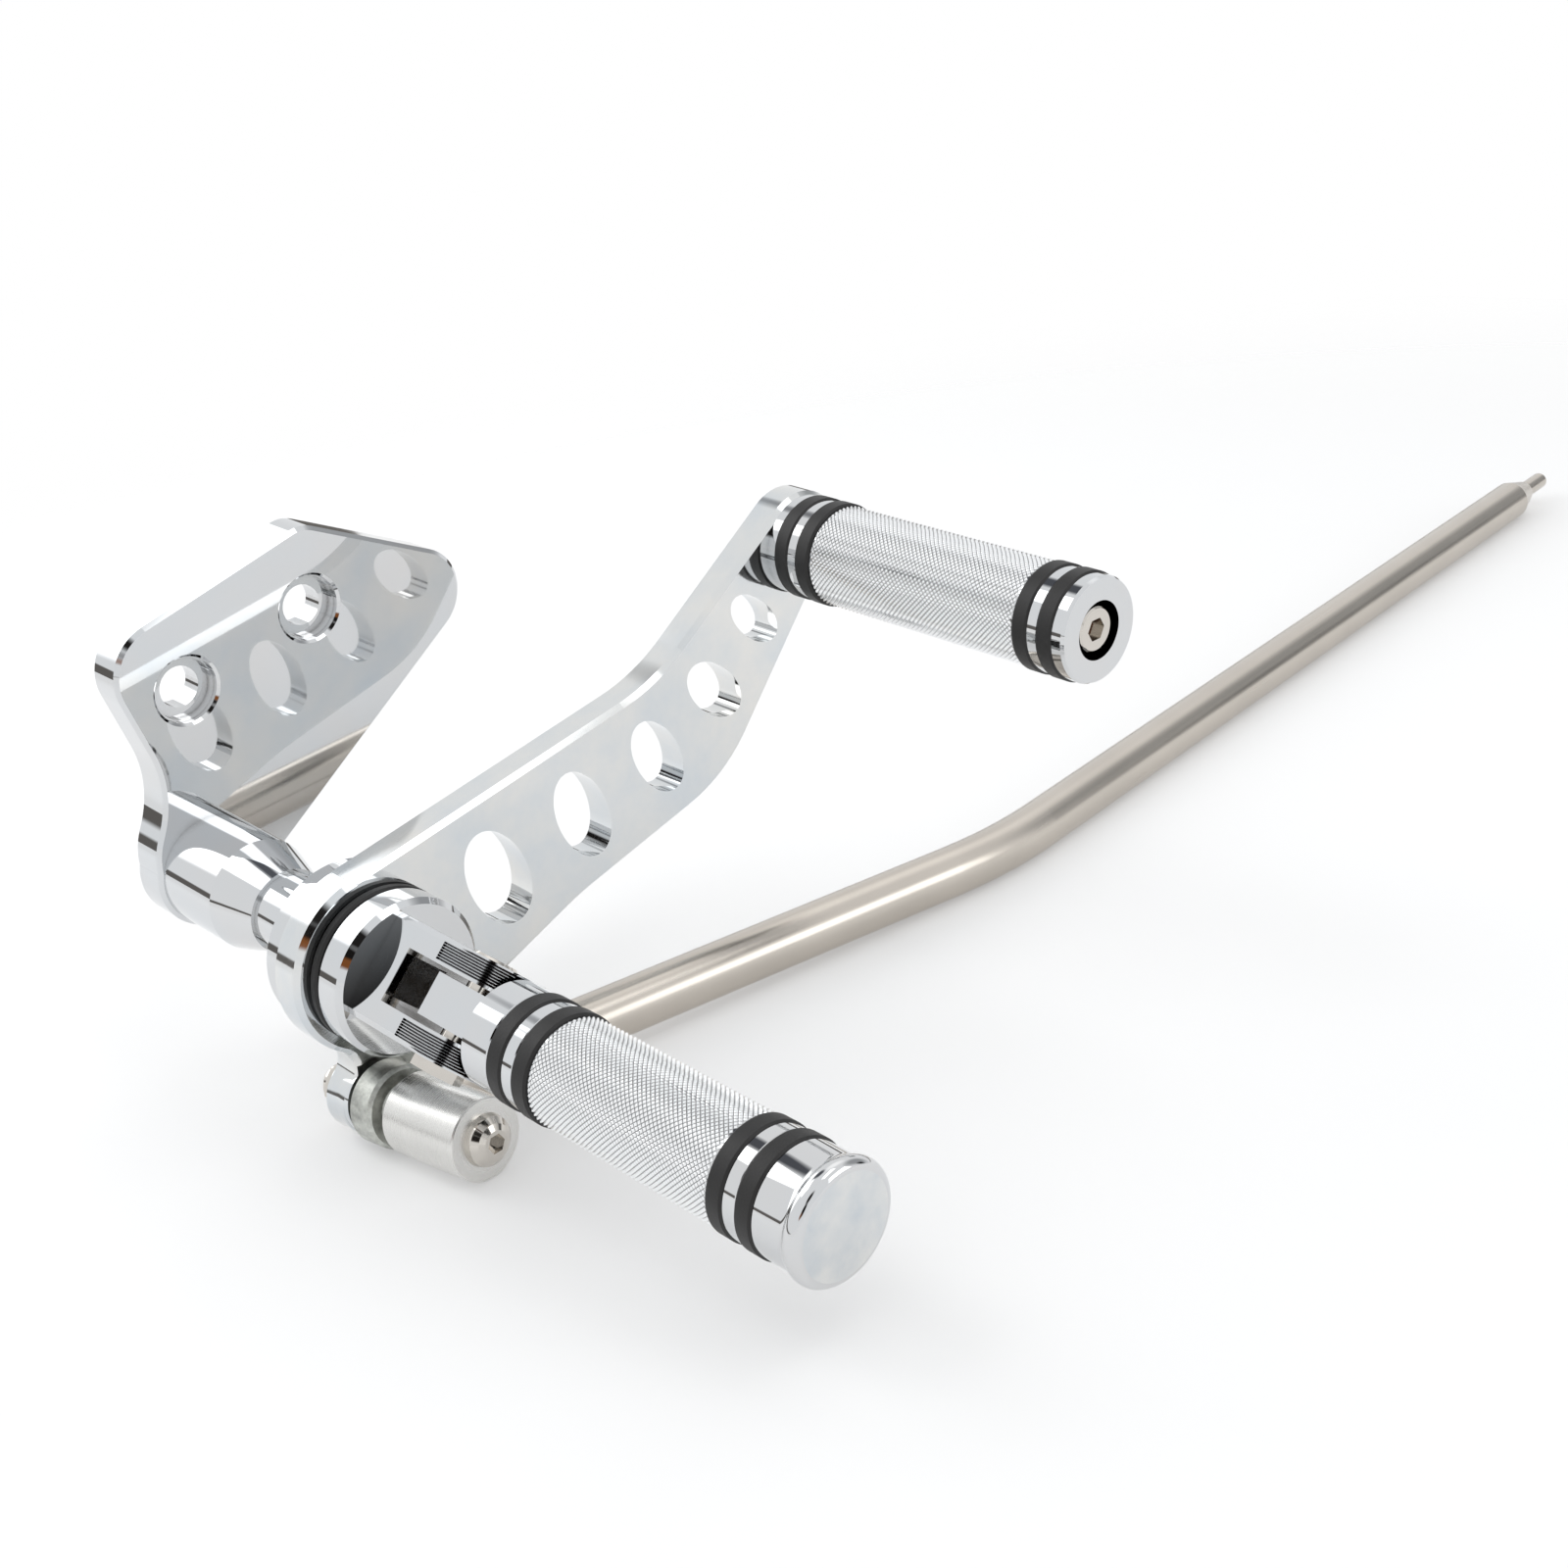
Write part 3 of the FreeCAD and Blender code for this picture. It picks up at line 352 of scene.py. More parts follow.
def drawn_stainless(colour, name, directions, split_x):
    """Drawn and polished stainless bar: warm grey, with fine draw marks that follow the
    bar's length and change direction at its bend."""
    material, tree, shader, place = new_surface(name, 1.0)
    marks = []
    for direction in directions:
        turn = direction.to_track_quat("X", "Z").to_matrix().transposed().to_euler()
        along = node(tree, "ShaderNodeMapping", {"Vector": place, "Rotation": turn},
                     vector_type="POINT").outputs["Vector"]
        thin = node(tree, "ShaderNodeVectorMath", {
            0: along, 1: (per_metre(110), per_metre(1.1), per_metre(1.1))},
            operation="MULTIPLY").outputs[0]
        marks.append(node(tree, "ShaderNodeTexNoise", {
            "Vector": thin, "Scale": 1.0, "Detail": 4.0, "Roughness": 0.65}).outputs["Fac"])
    across = node(tree, "ShaderNodeSeparateXYZ", {"Vector": place}).outputs["X"]
    side = node(tree, "ShaderNodeMapRange", {
        "Value": across, "From Min": split_x - BEND_BLEND_MM * MM,
        "From Max": split_x + BEND_BLEND_MM * MM}).outputs["Result"]
    mark = node(tree, "ShaderNodeMix", {
        "Factor": side, VALUE_A: marks[0], VALUE_B: marks[1]},
        data_type="FLOAT").outputs[VALUE_OUT]
    stain = node(tree, "ShaderNodeTexNoise", {
        "Vector": place, "Scale": per_metre(33), "Detail": 3.0}).outputs["Fac"]
    finish_surface(tree, shader, (stain, shade(colour, 0.9), shade(colour, 1.08)),
                   (mark, 0.15, 0.33), (mark, 0.35, 0.04))
    return material


def bright_screw(colour):
    """Cold headed stainless: bright, slightly warm, with the faint orange skin of barrel
    polishing."""
    material, tree, shader, place = new_surface("bright_stainless_screw", 1.0)
    skin = node(tree, "ShaderNodeTexNoise", {
        "Vector": place, "Scale": per_metre(1.4), "Detail": 2.0}).outputs["Fac"]
    dull = node(tree, "ShaderNodeTexNoise", {
        "Vector": place, "Scale": per_metre(8), "Detail": 4.0}).outputs["Fac"]
    finish_surface(tree, shader, (dull, shade(colour, 0.88), shade(colour, 1.06)),
                   (dull, 0.04, 0.15), (skin, 0.3, 0.02))
    return material


def dull_zinc(colour):
    """Electroplated zinc on forged steel: grey with a green cast, granular, with duller
    and brighter patches."""
    material, tree, shader, place = new_surface("dull_zinc_plate", 0.9)
    grain = node(tree, "ShaderNodeTexNoise", {
        "Vector": place, "Scale": per_metre(0.9), "Detail": 4.0}).outputs["Fac"]
    patch = node(tree, "ShaderNodeTexNoise", {
        "Vector": place, "Scale": per_metre(5), "Detail": 5.0,
        "Roughness": 0.7}).outputs["Fac"]
    bright = node(tree, "ShaderNodeMapRange", {
        "Value": patch, "From Min": 0.32, "From Max": 0.68}).outputs["Result"]
    finish_surface(tree, shader, (bright, shade(colour, 0.55), shade(colour, 1.2)),
                   (patch, 0.25, 0.5), (grain, 0.5, 0.12))
    return material


def turned_aluminium(colour, direction, anchor):
    """Natural aluminium straight off the lathe: pale, satin, with tool marks that run round
    the bolt's axis. The feed is drawn at 0.5 mm so that it shows."""
    material, tree, shader, place = new_surface("turned_aluminium", 1.0)
    from_axis = node(tree, "ShaderNodeVectorMath", {0: place, 1: tuple(anchor)},
                     operation="SUBTRACT").outputs[0]
    along = node(tree, "ShaderNodeVectorMath", {0: from_axis, 1: tuple(direction)},
                 operation="DOT_PRODUCT").outputs["Value"]
    length = node(tree, "ShaderNodeVectorMath", {0: from_axis},
                  operation="LENGTH").outputs["Value"]
    feed = node(tree, "ShaderNodeMath", {0: along, 1: length}, operation="ADD").outputs[0]
    turns = node(tree, "ShaderNodeMath", {0: feed, 1: per_metre(0.5)},
                 operation="MULTIPLY").outputs[0]
    lines = node(tree, "ShaderNodeTexNoise", {"W": turns, "Scale": 1.0, "Detail": 3.0},
                 noise_dimensions="1D").outputs["Fac"]
    patch = node(tree, "ShaderNodeTexNoise", {
        "Vector": place, "Scale": per_metre(11), "Detail": 4.0}).outputs["Fac"]
    finish_surface(tree, shader, (patch, shade(colour, 0.93), shade(colour, 1.05)),
                   (lines, 0.18, 0.36), (lines, 0.4, 0.05))
    return material


def dress(names, material):
    """Gives every slot of the named CAD nodes the material."""
    for name in names:
        mesh = CAD_NODES[name].data
        if not mesh.materials:
            mesh.materials.append(material)
        for i in range(len(mesh.materials)):
            mesh.materials[i] = material


def placed(name, data):
    """New object in the scene that shows the data."""
    made = bpy.data.objects.new(name, data)
    bpy.context.scene.collection.objects.link(made)
    return made


def knurl_tree(material):
    """Geometry Nodes tree that rolls a diamond knurl round an axis along Y. A real one of
    this kind has a pitch near 1.4 mm; it is drawn a little coarser, so that it shows."""
    tree = bpy.data.node_groups.new("Rolled diamond knurl", "GeometryNodeTree")
    for name, kind in (("Radius", "NodeSocketFloat"), ("Depth", "NodeSocketFloat"),
                       ("Pitch", "NodeSocketFloat"), ("Worn top", "NodeSocketFloat"),
                       ("Diamonds along", "NodeSocketInt"),
                       ("Diamonds around", "NodeSocketInt"),
                       ("Start", "NodeSocketVector")):
        tree.interface.new_socket(name, in_out="INPUT", socket_type=kind)
    tree.interface.new_socket("Knurl", in_out="OUTPUT", socket_type="NodeSocketGeometry")
    given = tree.nodes.new("NodeGroupInput").outputs
    half = node(tree, "ShaderNodeMath", {0: given["Pitch"], 1: 0.5},
                operation="MULTIPLY").outputs[0]
    turn = node(tree, "ShaderNodeMath", {0: math.tau, 1: given["Radius"]},
                operation="MULTIPLY").outputs[0]
    wide = node(tree, "ShaderNodeMath", {0: turn, 1: given["Diamonds around"]},
                operation="DIVIDE").outputs[0]
    half_wide = node(tree, "ShaderNodeMath", {0: wide, 1: 0.5},
                     operation="MULTIPLY").outputs[0]
    # One diamond is a four sided cone, its corners on the two directions of the grid
    cone = node(tree, "GeometryNodeMeshCone",
                {"Vertices": 4, "Radius Top": given["Worn top"], "Radius Bottom": 1.0,
                 "Depth": 1.0}, fill_type="TRIANGLE_FAN")
    size = node(tree, "ShaderNodeCombineXYZ", {"X": half_wide, "Y": half,
                                               "Z": given["Depth"]}).outputs[0]
    # Two grids of points make the lattice, the second half a step on in both directions
    last_x = node(tree, "ShaderNodeMath", {0: given["Diamonds around"], 1: 1.0},
                  operation="SUBTRACT").outputs[0]
    grid_x = node(tree, "ShaderNodeMath", {0: wide, 1: last_x},
                  operation="MULTIPLY").outputs[0]
    half_x = node(tree, "ShaderNodeMath", {0: grid_x, 1: 0.5},
                  operation="MULTIPLY").outputs[0]
    lattice = node(tree, "GeometryNodeJoinGeometry")
    for shift in (0.0, 0.5):
        step_x = node(tree, "ShaderNodeMath", {0: wide, 1: shift},
                      operation="MULTIPLY").outputs[0]
        step_y = node(tree, "ShaderNodeMath", {0: given["Pitch"], 1: 0.5 + shift},
                      operation="MULTIPLY").outputs[0]
        count = node(tree, "ShaderNodeMath", {0: given["Diamonds along"], 1: 2.0 * shift},
                     operation="SUBTRACT").outputs[0]
        last_y = node(tree, "ShaderNodeMath", {0: count, 1: 1.0},
                      operation="SUBTRACT").outputs[0]
        grid_y = node(tree, "ShaderNodeMath", {0: given["Pitch"], 1: last_y},
                      operation="MULTIPLY").outputs[0]
        half_y = node(tree, "ShaderNodeMath", {0: grid_y, 1: 0.5},
                      operation="MULTIPLY").outputs[0]
        grid = node(tree, "GeometryNodeMeshGrid",
                    {"Size X": grid_x, "Size Y": grid_y,
                     "Vertices X": given["Diamonds around"], "Vertices Y": count})
        at_x = node(tree, "ShaderNodeMath", {0: half_x, 1: step_x},
                    operation="ADD").outputs[0]
        at_y = node(tree, "ShaderNodeMath", {0: half_y, 1: step_y},
                    operation="ADD").outputs[0]
        place = node(tree, "ShaderNodeCombineXYZ", {"X": at_x, "Y": at_y}).outputs[0]
        row = node(tree, "GeometryNodeTransform",
                   {"Geometry": grid.outputs["Mesh"], "Translation": place})
        tree.links.new(row.outputs["Geometry"], lattice.inputs["Geometry"])
    points = node(tree, "GeometryNodeMeshToPoints", {"Mesh": lattice.outputs["Geometry"]})
    diamonds = node(tree, "GeometryNodeInstanceOnPoints",
                    {"Points": points.outputs["Points"], "Instance": cone.outputs["Mesh"],
                     "Scale": size})
    flat = node(tree, "GeometryNodeRealizeInstances",
                {"Geometry": diamonds.outputs["Instances"]}).outputs["Geometry"]
    # Each point keeps its share of a diamond's height, which the chrome's painted shade in the
    # grooves follows
    spot = node(tree, "ShaderNodeSeparateXYZ",
                {"Vector": node(tree, "GeometryNodeInputPosition").outputs["Position"]})
    share = node(tree, "ShaderNodeMath", {0: spot.outputs["Z"], 1: given["Depth"]},
                 operation="DIVIDE").outputs[0]
    marked = node(tree, "GeometryNodeStoreNamedAttribute",
                  {"Geometry": flat, "Name": KNURL_HEIGHT, "Value": share},
                  data_type="FLOAT", domain="POINT")
    # Roll the flat sheet round the axis: across becomes an angle, along becomes -Y
    angle = node(tree, "ShaderNodeMath", {0: spot.outputs["X"], 1: given["Radius"]},
                 operation="DIVIDE").outputs[0]
    reach = node(tree, "ShaderNodeMath", {0: spot.outputs["Z"], 1: given["Radius"]},
                 operation="ADD").outputs[0]
    sine = node(tree, "ShaderNodeMath", {0: angle}, operation="SINE").outputs[0]
    cosine = node(tree, "ShaderNodeMath", {0: angle}, operation="COSINE").outputs[0]
    round_x = node(tree, "ShaderNodeMath", {0: reach, 1: sine},
                   operation="MULTIPLY").outputs[0]
    round_z = node(tree, "ShaderNodeMath", {0: reach, 1: cosine},
                   operation="MULTIPLY").outputs[0]
    round_y = node(tree, "ShaderNodeMath", {0: spot.outputs["Y"], 1: -1.0},
                   operation="MULTIPLY").outputs[0]
    rolled = node(tree, "ShaderNodeCombineXYZ", {"X": round_x, "Y": round_y,
                                                 "Z": round_z}).outputs[0]
    moved = node(tree, "ShaderNodeVectorMath", {0: rolled, 1: given["Start"]},
                 operation="ADD").outputs[0]
    sleeve = node(tree, "GeometryNodeSetPosition",
                  {"Geometry": marked.outputs["Geometry"], "Position": moved})
    closed = node(tree, "GeometryNodeMergeByDistance",
                  {"Geometry": sleeve.outputs["Geometry"], "Distance": KNURL_SAME_SPOT_MM * MM})
    sharp = node(tree, "GeometryNodeSetShadeSmooth",
                 {"Geometry": closed.outputs["Geometry"], "Shade Smooth": False})
    plated = node(tree, "GeometryNodeSetMaterial", {"Geometry": sharp.outputs["Geometry"],
                                                    "Material": material})
    node(tree, "NodeGroupOutput", {"Knurl": plated.outputs["Geometry"]})
    return tree


def grown(name, tree, values):
    """Runs a Geometry Nodes tree with the given inputs and keeps the result as a plain mesh."""
    seed = placed(name + "_seed", bpy.data.meshes.new(name + "_seed"))
    growth = seed.modifiers.new("Growth", "NODES")
    growth.node_group = tree
    for item in tree.interface.items_tree:
        if item.item_type == "SOCKET" and item.in_out == "INPUT" and item.name in values:
            growth[item.identifier] = values[item.name]
    graph = bpy.context.evaluated_depsgraph_get()
    mesh = bpy.data.meshes.new_from_object(seed.evaluated_get(graph), depsgraph=graph)
    seed.modifiers.clear()
    bpy.data.objects.remove(seed)
    mesh.name = name
    return placed(name, mesh)


def ring_span(peg, first, second):
    """Gap along the peg between two of its rubber rings, as (outer y, inner y)."""
    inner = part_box(f"{peg}_rubber_ring_{first}")[0].y
    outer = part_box(f"{peg}_rubber_ring_{second}")[1].y
    return outer, inner


def foot_peg_profile():
    """Half profile of the foot peg as (radius, distance out along the peg) in mm, with the
    number of its first point on the domed face: grooves under the rings, the foot of the
    knurl, a hollow behind the end bead, the bead's rounding and the shallow dome."""
    spans = []
    for number in RING_NUMBERS:
        low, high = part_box(f"foot_rubber_ring_{number}")
        spans.append((-high.y / MM, -low.y / MM))
    radius = (high.x - low.x) / 2 / MM - RING_PROUD_MM
    seat = radius - RING_WALL_MM
    end = -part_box("foot_peg_body")[0].y / MM
    points = [(0, spans[0][0]), (seat, spans[0][0])]
    # The grip lies between the second and the third ring, and smooth lands between the others
    for number, (begin, stop) in enumerate(spans):
        if number == 2:
            points += [(radius - GRIP_CORE_MM, begin), (seat, begin)]
        elif number > 0:
            points += [(radius, begin - EDGE_MM), (radius - EDGE_MM, begin), (seat, begin)]
        points.append((seat, stop))
        if number == 1:
            points.append((radius - GRIP_CORE_MM, stop))
        else:
            points += [(radius - EDGE_MM, stop), (radius, stop + EDGE_MM)]
    middle = end - BEAD_ROUND_MM - DOME_MM
    bead = radius + BEAD_PROUD_MM - BEAD_ROUND_MM
    hollow = middle - BEAD_ROUND_MM * HOLLOW_BEHIND_BEAD
    points += [(radius + rise, hollow + along) for rise, along in HOLLOW_MM]
    points += [(bead + BEAD_ROUND_MM * math.cos(math.radians(a)),
                middle + BEAD_ROUND_MM * math.sin(math.radians(a))) for a in BEAD_ANGLES]
    face = len(points)
    rim, start = points[-1]
    for step in range(1, DOME_STEPS + 1):
        share = 1 - step / DOME_STEPS
        points.append((rim * share, start + (end - start) * (1 - share ** 2)))
    return points, face


def turned(name, centre, profile, steps):
    """Mesh piece turned round a line along Y through the centre, closed at both ends."""
    ring = [(math.sin(math.tau * i / steps), math.cos(math.tau * i / steps))
            for i in range(steps)]
    spots = [(centre.x + r * MM * x, -out * MM, centre.z + r * MM * z)
             for r, out in profile for x, z in ring]
    faces = [(row * steps + i, row * steps + (i + 1) % steps,
              (row + 1) * steps + (i + 1) % steps, (row + 1) * steps + i)
             for row in range(len(profile) - 1) for i in range(steps)]
    mesh = bpy.data.meshes.new(name)
    mesh.from_pydata(spots, [], faces)
    shape = bmesh.new()
    shape.from_mesh(mesh)
    bmesh.ops.remove_doubles(shape, verts=shape.verts, dist=SAME_SPOT_MM * MM)
    bmesh.ops.recalc_face_normals(shape, faces=shape.faces)
    shape.to_mesh(mesh)
    shape.free()
    mesh.shade_smooth()
    mesh.set_sharp_from_angle(angle=SHARP_EDGE)
    return placed(name, mesh)


class FORWARDCONTROLS_OT_foot_peg(bpy.types.Operator):
    """Turn the foot peg's body with its rounded end bead and buffed dome"""
    bl_idname = "forwardcontrols.foot_peg"
    bl_label = "Turn the foot peg"

    def execute(self, context):
        finish = context.scene.forward_controls_finish
        low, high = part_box("foot_rubber_ring_1")
        profile, face = foot_peg_profile()
        peg = turned("foot_peg_turned", (low + high) / 2, profile, PEG_STEPS)
        peg.data.materials.append(mirror_chrome(opaque(finish.chrome)))
        peg.data.materials.append(buffed_chrome(
            "hazy_dome_chrome", opaque(finish.buffed), blur=0.16, clouds_mm=17, depth=0.11))
        # Faces past the bead's last point are the dome
        edge = -profile[face - 1][1] * MM
        for polygon in peg.data.polygons:
            polygon.material_index = 1 if polygon.center.y < edge else 0
        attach(peg, "foot_peg")
        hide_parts("foot_peg_body")
        return {"FINISHED"}


class FORWARDCONTROLS_OT_plated_metal(bpy.types.Operator):
    """Give the bracket, barrel, lever, clevis and toe peg their chrome"""
    bl_idname = "forwardcontrols.plated_metal"
    bl_label = "Plate the metal"

    def execute(self, context):
        finish = context.scene.forward_controls_finish
        dress(PLATED_NODES, mirror_chrome(opaque(finish.chrome)))
        dress(BUFFED_NODES, buffed_chrome(
            "buffed_chrome", opaque(finish.buffed), blur=0.07, clouds_mm=33, depth=0.06))
        return {"FINISHED"}


class FORWARDCONTROLS_OT_rubber_rings(bpy.types.Operator):
    """Give the rubber rings their moulded rubber"""
    bl_idname = "forwardcontrols.rubber_rings"
    bl_label = "Mould the rubber rings"

    def execute(self, context):
        finish = context.scene.forward_controls_finish
        dress(RUBBER_NODES, moulded_rubber(opaque(finish.rubber)))
        return {"FINISHED"}


class FORWARDCONTROLS_OT_fasteners(bpy.types.Operator):
    """Give the screws, bolts and nuts their bright stainless"""
    bl_idname = "forwardcontrols.fasteners"
    bl_label = "Polish the fasteners"

    def execute(self, context):
        finish = context.scene.forward_controls_finish
        dress(SCREW_NODES, bright_screw(opaque(finish.screws)))
        return {"FINISHED"}


class FORWARDCONTROLS_OT_linkage(bpy.types.Operator):
    """Give the rod, its swivel eye and the spacer their metals"""
    bl_idname = "forwardcontrols.linkage"
    bl_label = "Finish the linkage"

    def execute(self, context):
        finish = context.scene.forward_controls_finish
        ways = ((ROD_BEND - EYE).normalized(), (ROD_TIP - ROD_BEND).normalized())
        dress(("linkage_rod",), drawn_stainless(
            opaque(finish.rod), "drawn_stainless_rod", ways, ROD_BEND.x))
        dress(("rod_end", "rod_end_ball"), dull_zinc(opaque(finish.zinc)))
        dress(("link_spacer",), turned_aluminium(
            opaque(finish.aluminium), BOLT_DIRECTION, EYE))
        return {"FINISHED"}


class FORWARDCONTROLS_OT_knurled_grips(bpy.types.Operator):
    """Roll the diamond knurl onto both pegs"""
    bl_idname = "forwardcontrols.knurled_grips"
    bl_label = "Knurl the grips"

    def execute(self, context):
        knurl = context.scene.forward_controls_knurl
        finish = context.scene.forward_controls_finish
        tree = knurl_tree(knurled_chrome(opaque(finish.knurled)))
        for peg, body, slot_name in (("foot", "foot_peg", "knurled_chrome"),
                                     ("toe", "lever", "knurled_chrome")):
            outer, inner = ring_span(peg, 2, 3)
            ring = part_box(f"{peg}_rubber_ring_2")
            centre = (ring[0] + ring[1]) / 2
            radius = (ring[1].x - ring[0].x) / 2 - (RING_PROUD_MM + GRIP_CORE_MM) * MM
            length = inner - outer - 2 * GRIP_END_MM * MM
            along = int(length / knurl.pitch)
            sleeve = grown(f"{peg}_peg_knurl", tree, {
                "Radius": radius, "Depth": knurl.depth, "Worn top": knurl.flat,
                "Pitch": length / along, "Diamonds along": along,
                "Diamonds around": knurl.around,
                "Start": (centre.x, inner - GRIP_END_MM * MM, centre.z)})
            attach(sleeve, body)
        return {"FINISHED"}


def studio_way(round_y, towards_y):
    """Unit direction from the part at the studio's two angles, given in degrees."""
    turn, rise = math.radians(round_y), math.radians(towards_y)
    return Vector((math.cos(rise) * math.cos(turn), math.sin(rise),
                   math.cos(rise) * math.sin(turn)))


def white_room(strength):
    """World: plain white for the camera, and for metal and light a pale studio with the
    gaps between its soft boxes and the dark camera."""
    world = bpy.data.worlds.new("White studio")
    world.use_nodes = True
    tree = world.node_tree
    tree.nodes.clear()
    way = node(tree, "ShaderNodeTexCoord").outputs["Generated"]
    height = node(tree, "ShaderNodeSeparateXYZ", {"Vector": way}).outputs["Z"]
    rise = node(tree, "ShaderNodeMapRange", {
        "Value": height, "From Min": WALL_STARTS[0],
        "From Max": WALL_STARTS[1]}).outputs["Result"]
    colour = node(tree, "ShaderNodeMix", {
        "Factor": rise, COLOUR_A: linear(BELOW_TABLE), COLOUR_B: linear(STUDIO_WALL)},
        data_type="RGBA").outputs[COLOUR_OUT]
    for _, round_y, towards_y, half, soft, text in STUDIO_SPOTS:
        near = node(tree, "ShaderNodeVectorMath",
                    {0: way, 1: tuple(studio_way(round_y, towards_y))},
                    operation="DOT_PRODUCT").outputs["Value"]
        inside = node(tree, "ShaderNodeMapRange", {
            "Value": near, "From Min": math.cos(math.radians(half + soft)),
            "From Max": math.cos(math.radians(half - soft))}).outputs["Result"]
        colour = node(tree, "ShaderNodeMix", {
            "Factor": inside, COLOUR_A: colour, COLOUR_B: linear(text)},
            data_type="RGBA").outputs[COLOUR_OUT]
    studio = node(tree, "ShaderNodeBackground", {"Color": colour, "Strength": strength})
    plain = node(tree, "ShaderNodeBackground", {"Color": (1, 1, 1, 1), "Strength": 1.0})
    seen = node(tree, "ShaderNodeLightPath").outputs["Is Camera Ray"]
    both = node(tree, "ShaderNodeMixShader", {0: seen, 1: studio.outputs[0],
                                              2: plain.outputs[0]})
    node(tree, "ShaderNodeOutputWorld", {"Surface": both.outputs[0]})
    bpy.context.scene.world = world


def soft_front(lamp):
    """Cloth front of a soft box: even in the middle, and fading towards its edges."""
    lamp.use_nodes = True
    tree = lamp.node_tree
    tree.nodes.clear()
    spot = node(tree, "ShaderNodeNewGeometry").outputs["Parametric"]
    offset = node(tree, "ShaderNodeVectorMath", {0: spot, 1: (0.5, 0.5, 0.0)},
                  operation="SUBTRACT").outputs[0]
    reach = node(tree, "ShaderNodeVectorMath", {0: offset}, operation="ABSOLUTE").outputs[0]
    sides = node(tree, "ShaderNodeSeparateXYZ", {"Vector": reach})
    fades = [node(tree, "ShaderNodeMapRange", {
        "Value": sides.outputs[axis], "From Min": 0.5, "From Max": 0.5 - BOX_FADE},
        interpolation_type="SMOOTHSTEP").outputs["Result"] for axis in ("X", "Y")]
    front = node(tree, "ShaderNodeMath", {0: fades[0], 1: fades[1]},
                 operation="MULTIPLY").outputs[0]
    glow = node(tree, "ShaderNodeEmission", {"Strength": front})
    node(tree, "ShaderNodeOutputLight", {"Surface": glow.outputs[0]})


def soft_box(name, round_y, towards_y, away, wide, high, radiance, power):
    """Rectangular soft box that faces the part, with its long side level."""
    lamp = bpy.data.lights.new(name, "AREA")
    lamp.shape = "RECTANGLE"
    lamp.size = wide
    lamp.size_y = high
    lamp.energy = radiance * wide * high * math.pi * power
    soft_front(lamp)
    box = placed(name, lamp)
    way = studio_way(round_y, towards_y)
    box.location = BOXES_FACE + way * away
    box.rotation_euler = way.to_track_quat("Z", "Y").to_euler()
    box.visible_camera = False


def table_paper():
    """Thin matt white sheet that the part lies on. It keeps the part's soft shadow and lets
    a little of the white room show through, all of it with distance and from below, so that
    a rod swung down past it is still seen. Metal sees the same white in it."""
    material = bpy.data.materials.new("white_table_paper")
    material.use_nodes = True
    tree = material.node_tree
    tree.nodes.clear()
    path = node(tree, "ShaderNodeLightPath").outputs
    place = node(tree, "ShaderNodeTexCoord").outputs["Object"]
    away = node(tree, "ShaderNodeVectorMath", {0: place, 1: tuple(TABLE_MIDDLE)},
                operation="DISTANCE").outputs["Value"]
    far = node(tree, "ShaderNodeMapRange", {
        "Value": away, "From Min": PAPER_WHOLE_TO, "From Max": PAPER_GONE_AT},
        interpolation_type="SMOOTHSTEP").outputs["Result"]
    # Lit sheet: brighter for the camera by what the see-through share takes away, and with
    # that share as a glow for metal, which sees no room through the sheet
    grey = node(tree, "ShaderNodeMapRange", {
        "Value": path["Is Camera Ray"], "To Min": PAPER_GREY,
        "To Max": PAPER_GREY / (1 - PAPER_SHOWS_THROUGH)}).outputs["Result"]
    paper = node(tree, "ShaderNodeBsdfDiffuse", {"Color": grey})
    lift = node(tree, "ShaderNodeMath", {0: path["Is Glossy Ray"], 1: PAPER_SHOWS_THROUGH},
                operation="MULTIPLY").outputs[0]
    glow = node(tree, "ShaderNodeEmission", {"Color": (1, 1, 1, 1), "Strength": lift})
    near = node(tree, "ShaderNodeAddShader", {0: paper.outputs[0], 1: glow.outputs[0]})
    fade = node(tree, "ShaderNodeMath", {0: far, 1: path["Is Glossy Ray"]},
                operation="MULTIPLY").outputs[0]
    white = node(tree, "ShaderNodeEmission", {"Color": (1, 1, 1, 1), "Strength": 1.0})
    top = node(tree, "ShaderNodeMixShader", {0: fade, 1: near.outputs[0],
                                             2: white.outputs[0]})
    # What the camera sees through it, and all of it from below
    open_here = node(tree, "ShaderNodeMapRange", {
        "Value": far, "To Min": PAPER_SHOWS_THROUGH}).outputs["Result"]
    thin = node(tree, "ShaderNodeMath", {0: open_here, 1: path["Is Camera Ray"]},
                operation="MULTIPLY").outputs[0]
    below = node(tree, "ShaderNodeNewGeometry").outputs["Backfacing"]
    open_share = node(tree, "ShaderNodeMath", {0: thin, 1: below},
                      operation="MAXIMUM").outputs[0]
    clear = node(tree, "ShaderNodeBsdfTransparent")
    sheet = node(tree, "ShaderNodeMixShader", {0: open_share, 1: top.outputs[0],
                                               2: clear.outputs[0]})
    node(tree, "ShaderNodeOutputMaterial", {"Surface": sheet.outputs[0]})
    return material


